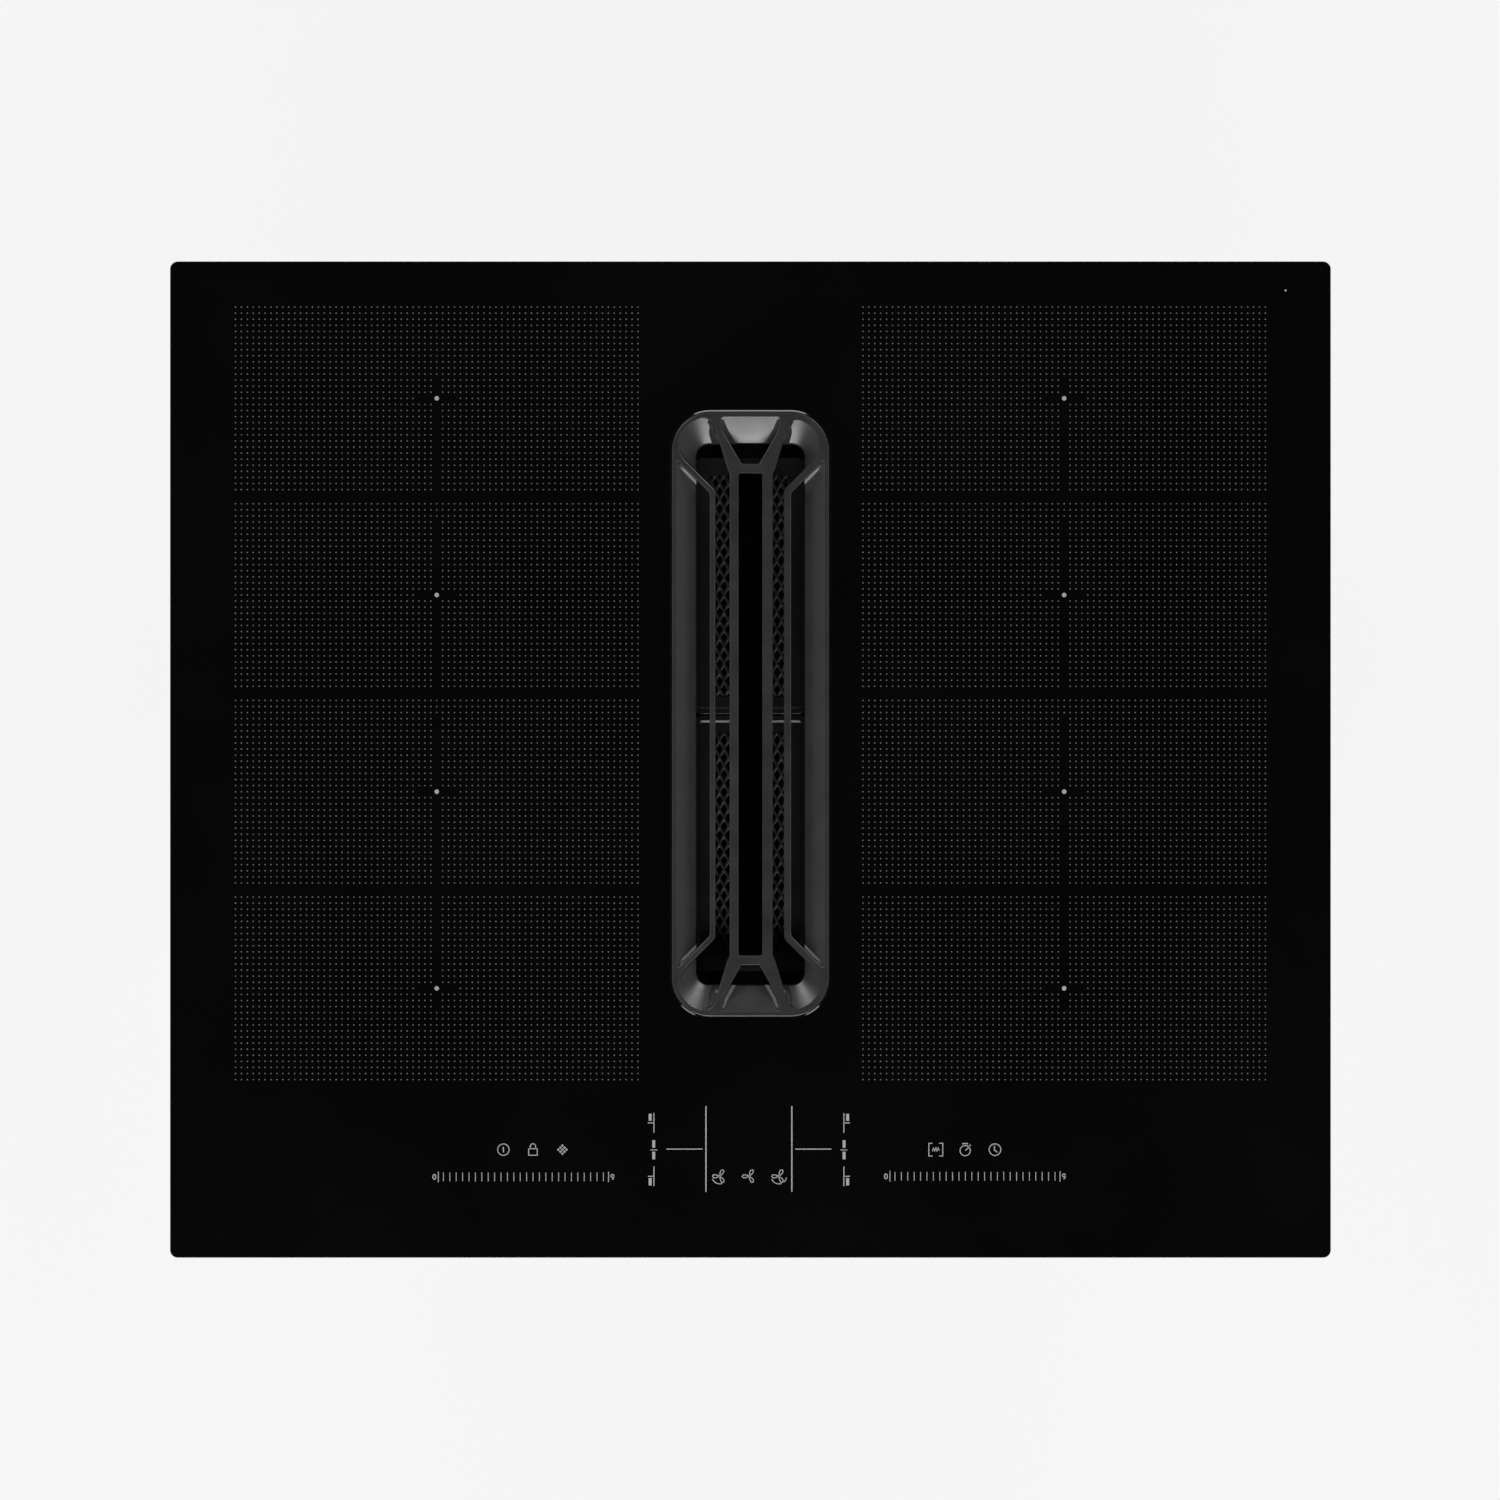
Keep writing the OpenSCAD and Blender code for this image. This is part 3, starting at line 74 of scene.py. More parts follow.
glass_low, glass_high = corners_mm("glass_plate")
grille_low, grille_high = corners_mm("grille")
GLASS_TOP = glass_high.z
GLASS_BOTTOM = glass_low.z
GLASS_W = glass_high.x - glass_low.x
GLASS_D = glass_high.y - glass_low.y
GRILLE_W = grille_high.x - grille_low.x
GRILLE_D = grille_high.y - grille_low.y
GRILLE_H = grille_high.z - grille_low.z
INTAKE_Y = (grille_low.y + grille_high.y) / 2
print("glass", round(GLASS_W, 1), "x", round(GLASS_D, 1), "grille", round(GRILLE_W, 1), "x",
      round(GRILLE_D, 1), "x", round(GRILLE_H, 1), "mm")

# %% [markdown]
# ## Outlines
# Sheet metal, castings and glass all start as a flat outline. A rounded rectangle can be built
# from four arcs, and any other outline from its corner points, each rounded by an arc of its own
# radius. Points in a list are easier to check than a modifier, so the outlines are plain lists.

# %% Rounded rectangles and rounded corners
ARC_STEPS = 12
MOST_OF_AN_EDGE = 0.48


def arc(centre, radius, start, end, steps=8):
    return [(centre[0] + radius * math.cos(start + (end - start) * i / steps),
             centre[1] + radius * math.sin(start + (end - start) * i / steps))
            for i in range(steps + 1)]


def circle(radius, steps=28):
    return arc((0, 0), radius, 0, math.tau, steps)[:-1]


def rounded_rectangle(width, depth, radius, steps=ARC_STEPS):
    points = []
    for turn, (sx, sy) in enumerate(((1, 1), (-1, 1), (-1, -1), (1, -1))):
        centre = sx * (width / 2 - radius), sy * (depth / 2 - radius)
        points += arc(centre, radius, math.pi / 2 * turn, math.pi / 2 * (turn + 1), steps)
    return points


def rounded_corners(corners, steps=5):
    """Corners are (x, y, radius); each gives way to a bend that touches both its edges."""
    points = []
    for index, (x, y, radius) in enumerate(corners):
        if radius == 0:
            points.append((x, y))
            continue
        here = Vector((x, y))
        before = Vector(corners[index - 1][:2]) - here
        after = Vector(corners[(index + 1) % len(corners)][:2]) - here
        reach = min(radius / math.tan(before.angle(after) / 2), before.length * MOST_OF_AN_EDGE,
                    after.length * MOST_OF_AN_EDGE)
        start = here + before.normalized() * reach
        end = here + after.normalized() * reach
        for step in range(steps + 1):
            t = step / steps
            spot = start * (1 - t) ** 2 + here * 2 * t * (1 - t) + end * t ** 2
            points.append((spot.x, spot.y))
    return points


def moved(points, x=0, y=0, turn=0):
    cos, sin = math.cos(turn), math.sin(turn)
    return [(x + px * cos - py * sin, y + px * sin + py * cos) for px, py in points]


print("points in a rounded rectangle:", len(rounded_rectangle(10, 10, 2)))

# %% [markdown]
# ## From outline to mesh
# Blender's 2D curve fills an outline with its holes, gives it a thickness and rounds its edges in
# one step, which is just what a cast rib or a cut plate needs. Where the section changes on the
# way up, as in a funnel, a loft through rings with equal numbers of points is the better way.

# %% Points to a clean mesh
WELD_M, SLIVER_M = 2e-6, 1e-7


def mesh_of(name, vertices, faces):
    mesh = bpy.data.meshes.new(name)
    mesh.from_pydata([tuple(MM * v for v in point) for point in vertices], [], faces)
    mesh.update()
    return mesh


def linked(name, data):
    thing = bpy.data.objects.new(name, data)
    bpy.context.scene.collection.objects.link(thing)
    return thing


def welded(mesh):
    work = bmesh.new()
    work.from_mesh(mesh)
    bmesh.ops.remove_doubles(work, verts=work.verts, dist=WELD_M)
    bmesh.ops.dissolve_degenerate(work, edges=work.edges, dist=SLIVER_M)
    bmesh.ops.recalc_face_normals(work, faces=work.faces)
    work.to_mesh(mesh)
    work.free()
    return mesh


print("points closer than", WELD_M / MM, "mm are welded")

# %% Plates from outlines
def plate(name, outlines, bottom, top, edge=0.0, steps=2):
    """A flat plate with holes between two levels, its edges rounded by "edge"."""
    curve = bpy.data.curves.new(name, "CURVE")
    curve.dimensions = "2D"
    curve.fill_mode = "BOTH"
    curve.extrude = ((top - bottom) / 2 - edge) * MM
    curve.bevel_depth = edge * MM
    curve.bevel_resolution = steps
    curve.offset = -edge * MM
    for outline in outlines:
        spline = curve.splines.new("POLY")
        spline.points.add(len(outline) - 1)
        for point, (x, y) in zip(spline.points, outline):
            point.co = (x * MM, y * MM, 0, 1)
        spline.use_cyclic_u = True
    holder = linked(name, curve)
    graph = bpy.context.evaluated_depsgraph_get()
    mesh = bpy.data.meshes.new_from_object(holder.evaluated_get(graph))
    bpy.data.objects.remove(holder)
    bpy.data.curves.remove(curve)
    mesh.transform(Matrix.Translation((0, 0, (top + bottom) / 2 * MM)))
    return welded(mesh)


print("plate helper ready")

# %% Lofts and joined meshes
def loft(name, rings):
    """Rings are (outline, height) with equal numbers of points; the last one joins the first."""
    count = len(rings[0][0])
    vertices = [(x, y, z) for outline, z in rings for x, y in outline]
    faces = []
    for ring in range(len(rings)):
        low, high = ring * count, (ring + 1) % len(rings) * count
        for i in range(count):
            j = (i + 1) % count
            faces.append((low + i, low + j, high + j, high + i))
    return welded(mesh_of(name, vertices, faces))


def joined(name, meshes):
    work = bmesh.new()
    for mesh in meshes:
        work.from_mesh(mesh)
    whole = bpy.data.meshes.new(name)
    work.to_mesh(whole)
    work.free()
    return whole


print("loft helper ready")

# %% [markdown]
# ## Hanging a piece on the frame
# Each piece rides on one body of the mechanism, takes its finish and, if it stands for a
# solid, hides that solid. Doing all of it in one helper means that no piece is ever left behind
# when a part of the cooktop is lifted out.

# %% Show a piece
SHARP_ANGLE = 32
HOME = "cooktop"
FINISHES = {}


def show_piece(name, mesh, body, slot, replaced=(), finishes=(), sharp=SHARP_ANGLE):
    """Several meshes become one; the finish is the slot's own unless others are named."""
    if isinstance(mesh, list):
        mesh = joined(name, mesh)
    mesh.name = name
    for key in finishes or [slot]:
        mesh.materials.append(FINISHES[key])
    mesh.shade_smooth()
    mesh.set_sharp_from_angle(angle=math.radians(sharp))
    piece = linked(name, mesh)
    piece.modifiers.new("even shading", "WEIGHTED_NORMAL").keep_sharp = True
    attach(piece, body)
    if replaced:
        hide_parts(*replaced)
    print(name, "has", len(mesh.polygons), "faces")
    return piece

# %% [markdown]
# ## Effects that several finishes share
# Real surfaces are never one flat colour. Coated castings have a fine pebble, moulded plastic has
# the skin of its mould, rolled sheet has faint lines along the rolling direction, and zinc shows
# crystals. Each effect is a node group that puts out a mask from 0 to 1 and a height, so any
# material can use it with its own scale. The shader itself stays in the material.

# %% Node helpers
def place(tree, kind, values=None, **settings):
    node = tree.nodes.new(kind)
    for key, value in settings.items():
        setattr(node, key, value)
    for socket, value in (values or {}).items():
        if isinstance(value, bpy.types.NodeSocket):
            tree.links.new(value, node.inputs[socket])
        else:
            node.inputs[socket].default_value = value
    return node


def effect_group(name, build, scale):
    group = bpy.data.node_groups.new(name, "ShaderNodeTree")
    for title, way in (("Scale", "INPUT"), ("Mask", "OUTPUT"), ("Height", "OUTPUT")):
        socket = group.interface.new_socket(title, in_out=way, socket_type="NodeSocketFloat")
        if way == "INPUT":
            socket.default_value = scale
    given = group.nodes.new("NodeGroupInput").outputs["Scale"]
    mask, height = build(group, given, place(group, "ShaderNodeTexCoord").outputs["Object"])
    place(group, "NodeGroupOutput", {"Mask": mask, "Height": height})
    print("effect:", name)
    return group

# %% Pebbled coat and moulded skin
NOISE_ROUGHNESS = 0.55
MASK_FROM, MASK_TO = 0.3, 0.7


def noise(tree, spot, scale, detail=3.0):
    return place(tree, "ShaderNodeTexNoise", {
        "Vector": spot, "Scale": scale, "Detail": detail,
        "Roughness": NOISE_ROUGHNESS}).outputs["Fac"]


def arithmetic(tree, operation, first, second):
    return place(tree, "ShaderNodeMath", {0: first, 1: second}, operation=operation).outputs[0]


def times(tree, first, second):
    return arithmetic(tree, "MULTIPLY", first, second)


def widened(tree, value):
    return place(tree, "ShaderNodeMapRange", {
        "Value": value, "From Min": MASK_FROM, "From Max": MASK_TO}).outputs["Result"]


def build_pebble(tree, scale, spot):
    broad = noise(tree, spot, times(tree, scale, 0.04))
    return widened(tree, broad), noise(tree, spot, scale, 2.0)


def build_mould(tree, scale, spot):
    cells = place(tree, "ShaderNodeTexVoronoi", {"Vector": spot, "Scale": scale})
    fine = noise(tree, spot, times(tree, scale, 2.0), 2.0)
    height = arithmetic(tree, "ADD", cells.outputs["Distance"], times(tree, fine, 0.5))
    return widened(tree, noise(tree, spot, times(tree, scale, 0.02))), height


PEBBLE = effect_group("pebbled coat", build_pebble, 1500.0)
MOULD = effect_group("moulded skin", build_mould, 1400.0)

# %% Rolled sheet and zinc crystals
def build_rolled(tree, scale, spot):
    stretched = place(tree, "ShaderNodeMapping", {"Vector": spot, "Scale": (0.04, 1.0, 1.0)})
    lines = noise(tree, stretched.outputs["Vector"], scale, 4.0)
    mask = arithmetic(tree, "ADD", times(tree, widened(tree, lines), 0.6),
                      times(tree, widened(tree, noise(tree, spot, 9.0)), 0.4))
    return mask, lines


def build_crystals(tree, scale, spot):
    bend = place(tree, "ShaderNodeTexNoise", {"Vector": spot, "Scale": 60.0})
    push = place(tree, "ShaderNodeVectorMath", {0: bend.outputs["Color"], "Scale": 0.006},
                 operation="SCALE").outputs[0]
    warped = place(tree, "ShaderNodeVectorMath", {0: spot, 1: push}, operation="ADD").outputs[0]
    cells = place(tree, "ShaderNodeTexVoronoi", {"Vector": warped, "Scale": scale})
    shade = place(tree, "ShaderNodeSeparateColor", {"Color": cells.outputs["Color"]}).outputs[0]
    return shade, noise(tree, spot, 900.0)


ROLLED = effect_group("rolled sheet", build_rolled, 1800.0)
CRYSTALS = effect_group("zinc crystals", build_crystals, 140.0)

# %% [markdown]
# ## One way to make a finish
# Each finish mixes two near colours by the effect's mask, lets the mask move the roughness a
# little, and feeds the height to a Bump node. Numbers that are the same all over go straight on
# the shader's own sockets, because a socket that is linked for no reason is lost on export.

# %% The finish helper
def grey(value, warm=0.0):
    return (value * (1 + warm), value, value * (1 - warm))


def finish(key, name, effect, colours, roughness, scale, bump=0.1, depth=0.02, **shader):
    """Colours are two plain greys, or two rows of red, green and blue."""
    material = bpy.data.materials.new(name)
    material.use_nodes = True
    tree = material.node_tree
    surface = tree.nodes["Principled BSDF"]
    group = place(tree, "ShaderNodeGroup", node_tree=effect)
    group.inputs["Scale"].default_value = scale
    mask, height = group.outputs["Mask"], group.outputs["Height"]
    mix = place(tree, "ShaderNodeMix", {0: mask}, data_type="RGBA")
    for socket, colour in zip((6, 7), colours):
        colour = grey(colour) if isinstance(colour, float) else colour
        mix.inputs[socket].default_value = (*colour, 1)
    tree.links.new(mix.outputs[2], surface.inputs["Base Color"])
    gloss = place(tree, "ShaderNodeMapRange", {
        "Value": mask, "To Min": roughness[0], "To Max": roughness[1]})
    tree.links.new(gloss.outputs["Result"], surface.inputs["Roughness"])
    if bump:
        relief = place(tree, "ShaderNodeBump", {
            "Height": height, "Strength": bump, "Distance": depth * MM})
        tree.links.new(relief.outputs["Normal"], surface.inputs["Normal"])
    for socket, value in shader.items():
        surface.inputs[socket.replace("_", " ")].default_value = value
    FINISHES[key] = material


print("finish helper ready")

# %% [markdown]
# ## The finishes
# The glass is polished and almost without colour, so what shows on it is the room. The grille has
# a satin powder coat, the sheets are galvanised or bare aluminium, and the mouldings are matte.
# Dark coats are kept a little above pure black, as real ones are, and only the glass and the
# inlay come close to it.

# %% Materials of glass, print and grille
finish("ceramic_glass", "black glass-ceramic", PEBBLE, (0.0026, 0.0044), (0.035, 0.06), 160,
       bump=0)
finish("ground_edge", "ground glass edge", PEBBLE, (0.004, 0.008), (0.08, 0.13), 2600, bump=0.05)
finish("dot_print", "fired enamel print", PEBBLE, (0.18, 0.23), (0.50, 0.62), 3000, depth=0.01)
finish("line_print", "fired enamel lines", PEBBLE, (0.52, 0.60), (0.50, 0.62), 3000, depth=0.01)
finish("grille_coat", "satin black coat", PEBBLE, (0.034, 0.042), (0.31, 0.38), 1900, bump=0.15,
       IOR=1.82)
finish("inlay", "matte black inlay", MOULD, (0.0004, 0.0008), (0.30, 0.36), 1500, bump=0.02,
       Specular_IOR_Level=0.04)
print("top finishes:", len(FINISHES))

# %% Materials of metals
finish("zinc_sheet", "galvanised sheet", CRYSTALS, (0.46, 0.57), (0.34, 0.44), 260, bump=0.08,
       Metallic=0.9)
finish("bare_aluminium", "bare aluminium", ROLLED, (0.55, 0.68), (0.30, 0.42), 1800, Metallic=1.0)
finish("filter_steel", "dark stainless sheet", ROLLED, (0.22, 0.29), (0.32, 0.40), 2200,
       bump=0.12, Metallic=1.0)
finish("filter_mesh", "dull expanded metal", ROLLED, (0.13, 0.18), (0.48, 0.60), 2600, bump=0.15,
       Metallic=1.0)
finish("zinc_screw", "bright zinc plate", ROLLED, (grey(0.52, 0.03), grey(0.64, 0.03)),
       (0.20, 0.32), 2400, bump=0.05, Metallic=1.0)
finish("motor_metal", "die-cast motor metal", PEBBLE, (0.34, 0.44), (0.42, 0.55), 900, bump=0.25,
       Metallic=0.9)
finish("spring_brass", "plated spring wire", ROLLED, ((0.50, 0.40, 0.17), (0.60, 0.49, 0.22)),
       (0.22, 0.34), 2400, Metallic=1.0)
finish("copper_wire", "varnished copper wire", ROLLED,
       ((0.40, 0.15, 0.055), (0.52, 0.22, 0.085)), (0.28, 0.40), 5200, bump=0.5, depth=0.1,
       Metallic=1.0, Coat_Weight=0.5)
print("and the metals:", len(FINISHES))

# %% Materials of plastics, rubber, boards and sheets
finish("black_plastic", "matte black moulding", MOULD, (0.018, 0.026), (0.45, 0.56), 1500,
       bump=0.25)
finish("case_plastic", "fan case moulding", MOULD, (0.026, 0.036), (0.42, 0.54), 1200, bump=0.35,
       depth=0.04)
finish("tray_plastic", "drip tray moulding", MOULD, (0.034, 0.044), (0.35, 0.46), 1600, bump=0.15)
finish("impeller_plastic", "glass-filled moulding", MOULD, (0.045, 0.062), (0.42, 0.55), 1800,
       bump=0.2)
finish("pale_plastic", "pale moulding", MOULD, ((0.66, 0.64, 0.57), (0.74, 0.72, 0.66)),
       (0.42, 0.52), 1500, bump=0.15)
finish("capacitor_sleeve", "capacitor sleeve", MOULD, ((0.035, 0.05, 0.11), (0.05, 0.07, 0.14)),
       (0.16, 0.26), 800, bump=0.05)
finish("silicone", "soft silicone", PEBBLE, (0.05, 0.07), (0.62, 0.75), 1200, bump=0.2)
finish("foam", "closed-cell foam", MOULD, (0.035, 0.060), (0.85, 0.95), 2200, bump=0.7, depth=0.1)
finish("sealant", "cured silicone bead", PEBBLE, (0.035, 0.05), (0.30, 0.45), 500)
finish("circuit_board", "solder mask", ROLLED, ((0.016, 0.10, 0.045), (0.03, 0.17, 0.08)),
       (0.22, 0.36), 700, bump=0.3, depth=0.05)
finish("ferrite", "sintered ferrite", PEBBLE, (0.045, 0.065), (0.45, 0.60), 1400)
finish("mica", "pressed mica sheet", CRYSTALS, ((0.46, 0.40, 0.28), (0.64, 0.58, 0.44)),
       (0.35, 0.50), 260)
print("finishes in all:", len(FINISHES))

# %% [markdown]
# ## Dressing the solids
# The record names a finish for each solid. A table from those names to the materials above puts
# every solid in its own finish at once, the ones inside the case too, which show when a part is
# lifted out. Finer meshes then take the place of the solids that the eye lingers on.

# %% Put each solid in its finish
SLOT_OF = {part["node"]: part["material_slot"] for part in frame["record"]["subparts"]}
for node, solid in frame["nodes"].items():
    solid.data.materials.clear()
    solid.data.materials.append(FINISHES[SLOT_OF[node]])
print("solids in a finish:", len(SLOT_OF))

# %% [markdown]
# ## The glass plate
# The plate is 4 mm of glass-ceramic with a ground bevel and a rounded cut-out for the grille. A
# filled curve with a hole makes the sheet, and a loft adds the chamfered border of the cut-out.
# The top lies three hundredths of a millimetre under the highest point, which leaves room for
# the enamel that is printed on it.

# %% Make the glass
ENAMEL_T, GLASS_BEVEL, GLASS_CORNER = 0.03, 0.35, 4.0
CUT_PLAY, CUT_R = 0.3, 20.3
CHAMFER_W, CHAMFER_H = 0.6, 0.32
GLASS_FACE = GLASS_TOP - ENAMEL_T
LEVEL = 0.999


def at_intake(points):
    return moved(points, y=INTAKE_Y)


def ring(width, depth, radius, z, steps=16):
    return at_intake(rounded_rectangle(width, depth, radius, steps)), z


def cut_ring(grow, z):
    wider = 2 * (CUT_PLAY + grow)
    return ring(GRILLE_W + wider, GRILLE_D + wider, CUT_R + grow, z)


sheet_mesh = plate("sheet", [rounded_rectangle(GLASS_W, GLASS_D, GLASS_CORNER),
                             cut_ring(CHAMFER_W + GLASS_BEVEL, 0)[0]],
                   GLASS_BOTTOM, GLASS_FACE, GLASS_BEVEL, steps=5)
border_mesh = loft("border", [
    cut_ring(0, GLASS_BOTTOM), cut_ring(0, GLASS_FACE - CHAMFER_H), cut_ring(CHAMFER_W, GLASS_FACE),
    cut_ring(CHAMFER_W + 2 * GLASS_BEVEL, GLASS_FACE),
    cut_ring(CHAMFER_W + 2 * GLASS_BEVEL, GLASS_BOTTOM)])
glass = show_piece("cooktop_glass", [sheet_mesh, border_mesh], HOME, "ceramic_glass",
                   ["glass_plate"], ["ceramic_glass", "ground_edge"], sharp=20)
for face in glass.data.polygons:
    face.material_index = 0 if abs(face.normal.z) > LEVEL else 1
print("glass box:", [round(v / MM, 2) for v in glass.dimensions])

# %% [markdown]
# ## The printed fields
# Each cooking field is a grid of tiny enamel dots, 69 across and 31 deep. They are not painted
# by a pattern in the material: real six-sided flakes of enamel stay sharp from any distance and
# cost only six corners each.

# %% Print the dots
DOT_COLUMNS, DOT_ROWS = 69, 31
DOT_PITCH_X, DOT_PITCH_Y = 3.059, 3.145
FIELD_PITCH, FIELD_COUNT = 101.65, 4
FIELD_X, FIELD_REAR_Y = 162.15, 233.9
DOT_R, MARK_R = 0.37, 1.15
MIDDLE_COLUMN, MIDDLE_ROW = DOT_COLUMNS // 2, DOT_ROWS // 2
BARE_ROWS, BARE_REACH = ((12, 30), (3, 30), (3, 30), (0, 18)), 3


def is_bare(field, row, column):
    first, last = BARE_ROWS[field]
    if column == MIDDLE_COLUMN and first <= row <= last:
        return True
    return row == MIDDLE_ROW and abs(column - MIDDLE_COLUMN) <= BARE_REACH


def flakes(centres, radius, corners):
    rim = circle(radius, corners)
    vertices = [(x + dx, y + dy, GLASS_TOP) for x, y in centres for dx, dy in rim]
    faces = [range(first, first + corners) for first in range(0, len(vertices), corners)]
    return mesh_of("flakes", vertices, faces)


def show_print(name, mesh, ink="line_print"):
    show_piece(name, mesh, HOME, "ceramic_glass", finishes=[ink])


dots, marks = [], []
for side in (-1, 1):
    for field in range(FIELD_COUNT):
        for row in range(DOT_ROWS):
            y = FIELD_REAR_Y - field * FIELD_PITCH - row * DOT_PITCH_Y
            for column in range(DOT_COLUMNS):
                if not is_bare(field, row, column):
                    dots.append((side * FIELD_X + (column - MIDDLE_COLUMN) * DOT_PITCH_X, y))
        marks.append((side * FIELD_X,
                      FIELD_REAR_Y - field * FIELD_PITCH - MIDDLE_ROW * DOT_PITCH_Y))
show_print("field_dots", flakes(dots, DOT_R, 6), "dot_print")
show_print("field_marks", flakes(marks, MARK_R, 24))
print("dots:", len(dots), "marks:", len(marks))

# %% [markdown]
# ## Symbols and sliders
# The touch symbols are strokes of even width. A stroke is a ribbon: the points of its middle line
# are moved to the left and to the right by half the width, and quads join the two. Only plain
# symbols that every cooktop uses are drawn, and the glass round them stays bare.

# %% Ribbons
LEAST_MITRE = 0.35


def ribbon(points, width, closed=False):
    """Two rows of points either side of a line, mitred at its corners."""
    count = len(points)
    spots = [Vector(p) for p in points]
    left, right = [], []
    for i, spot in enumerate(spots):
        into = (spot - spots[i - 1]).normalized() if closed or i else None
        out = (spots[(i + 1) % count] - spot).normalized() if closed or i < count - 1 else None
        into, out = into or out, out or into
        across = Vector((-(into + out).y, (into + out).x)).normalized()
        reach = width / 2 / max(across.dot(Vector((-into.y, into.x))), LEAST_MITRE)
        left.append(spot + across * reach)
        right.append(spot - across * reach)
    vertices = [(p.x, p.y, GLASS_TOP) for p in left + right]
    pairs = count if closed else count - 1
    faces = [(count + i, count + (i + 1) % count, (i + 1) % count, i) for i in range(pairs)]
    return mesh_of("ribbon", vertices, faces)


def flat_face(corners):
    return mesh_of("flat face", [(x, y, GLASS_TOP) for x, y in corners], [(0, 1, 2, 3)])


def oblong(x0, x1, y0, y1):
    return [(x0, y0), (x1, y0), (x1, y1), (x0, y1)]


print("ribbon helper ready")

# %% Slider scales with their numerals
TICK_COUNT, TICK_PITCH, TICK_W, TICK_H = 26, 3.308, 0.36, 4.5
THIN_W, THIN_H = 0.42, 5.4
NUMERAL_W, NOUGHT_W, STROKE = 0.48, 0.5, 0.46
NOUGHT = [(0.75 * x, 1.25 * y) for x, y in circle(1, 16)]
NINE_BOWL, NINE_TAIL = circle(0.75, 12), [(0.75, 0.45), (0.72, -0.35), (0.35, -1.15), (-0.2, -1.3)]
NOUGHT_GAP, NINE_GAP, NOUGHT_LINE, NINE_LINE, BOWL_UP = 4.7, 4.6, 2.1, 2.65, 0.55


def drawn(x, y, points, width=STROKE, closed=False):
    return ribbon(moved(points, x, y), width, closed)


def bar(x, y, width, height):
    return flat_face(oblong(x - width / 2, x + width / 2, y - height / 2, y + height / 2))


def slider(nought_x, y):
    first = nought_x + NOUGHT_GAP
    last = first + (TICK_COUNT - 1) * TICK_PITCH
    ticks = [bar(first + i * TICK_PITCH, y, TICK_W, TICK_H) for i in range(TICK_COUNT)]
    ends = [bar(x, y, THIN_W, THIN_H) for x in (nought_x + NOUGHT_LINE, last + NINE_LINE)]
    return [drawn(nought_x, y, NOUGHT, NOUGHT_W, True),
            drawn(last + NINE_GAP, y + BOWL_UP, NINE_BOWL, NUMERAL_W, True),
            drawn(last + NINE_GAP, y, NINE_TAIL, NUMERAL_W)] + ticks + ends


show_print("slider_scales", slider(-163.4, -215.7) + slider(70.0, -215.4))

# %% Touch symbols
ICON_Y = -201.6
HAND_W, WAVE_W, KNOB_W, GEM_R = 0.5, 0.4, 0.6, 0.72
GEM = [(GEM_R, 0), (0, GEM_R), (-GEM_R, 0), (0, -GEM_R)]
GEM_PLACES = ((0, 2.1), (-2.1, 0), (2.1, 0), (0, -2.1), (-1.05, 1.05), (1.05, 1.05),
              (-1.05, -1.05), (1.05, -1.05), (0, 0))
BOW = [(-1.35, 0.5), (-1.35, 1.7)] + arc((0, 1.7), 1.35, math.pi, 0, 10) + [(1.35, 0.5)]
BRACKET = [(1.7, 3.3), (3.6, 3.3), (3.6, -3.3), (1.7, -3.3)]
WAVE = [(-1.7, -0.9), (-1.2, 0.8), (-0.5, -0.7), (0.0, 0.9), (0.6, -0.7), (1.2, 0.9), (1.8, -0.5)]
SYMBOLS = {
    "power": (-127.7, [(circle(2.95), STROKE, True), ([(0, -1.4), (0, 1.4)], KNOB_W)]),
    "padlock": (-112.4, [(oblong(-2.2, 2.2, -2.9, 0.5), STROKE, True), (BOW,)]),
    "gems": (-97.2, []),
    "bridge": (95.8, [([(-x, y) for x, y in BRACKET],), (BRACKET,), (WAVE, WAVE_W)]),
    "stopwatch": (111.0, [(moved(circle(2.65), 0, -0.5), STROKE, True),
                          ([(-1.5, 3.1), (1.5, 3.1)], KNOB_W), ([(0, -0.5), (1.5, 0.9)], HAND_W),
                          ([(2.2, 1.9), (2.8, 2.5)], HAND_W)]),
    "clock": (126.4, [(circle(3.0), STROKE, True),
                      ([(-0.3, 2.0), (-0.3, -0.2), (1.3, -1.4)], HAND_W)]),
}
icon_meshes = []
for name, (x, strokes) in SYMBOLS.items():
    icon_meshes += [drawn(x, ICON_Y, *stroke) for stroke in strokes]
    if name == "gems":
        icon_meshes += [flat_face(moved(GEM, x + dx, ICON_Y + dy)) for dx, dy in GEM_PLACES]
show_print("touch_symbols", icon_meshes)

# %% [markdown]
# ## The field selector and the fan symbols
# Between the sliders, two tall lines frame three fan symbols, and small bars left and right of
# them pick the field. A fan symbol is three bent blades round a hub, so one blade is drawn and
# turned three times. Extra arcs tell the first and the last fan from the middle one.

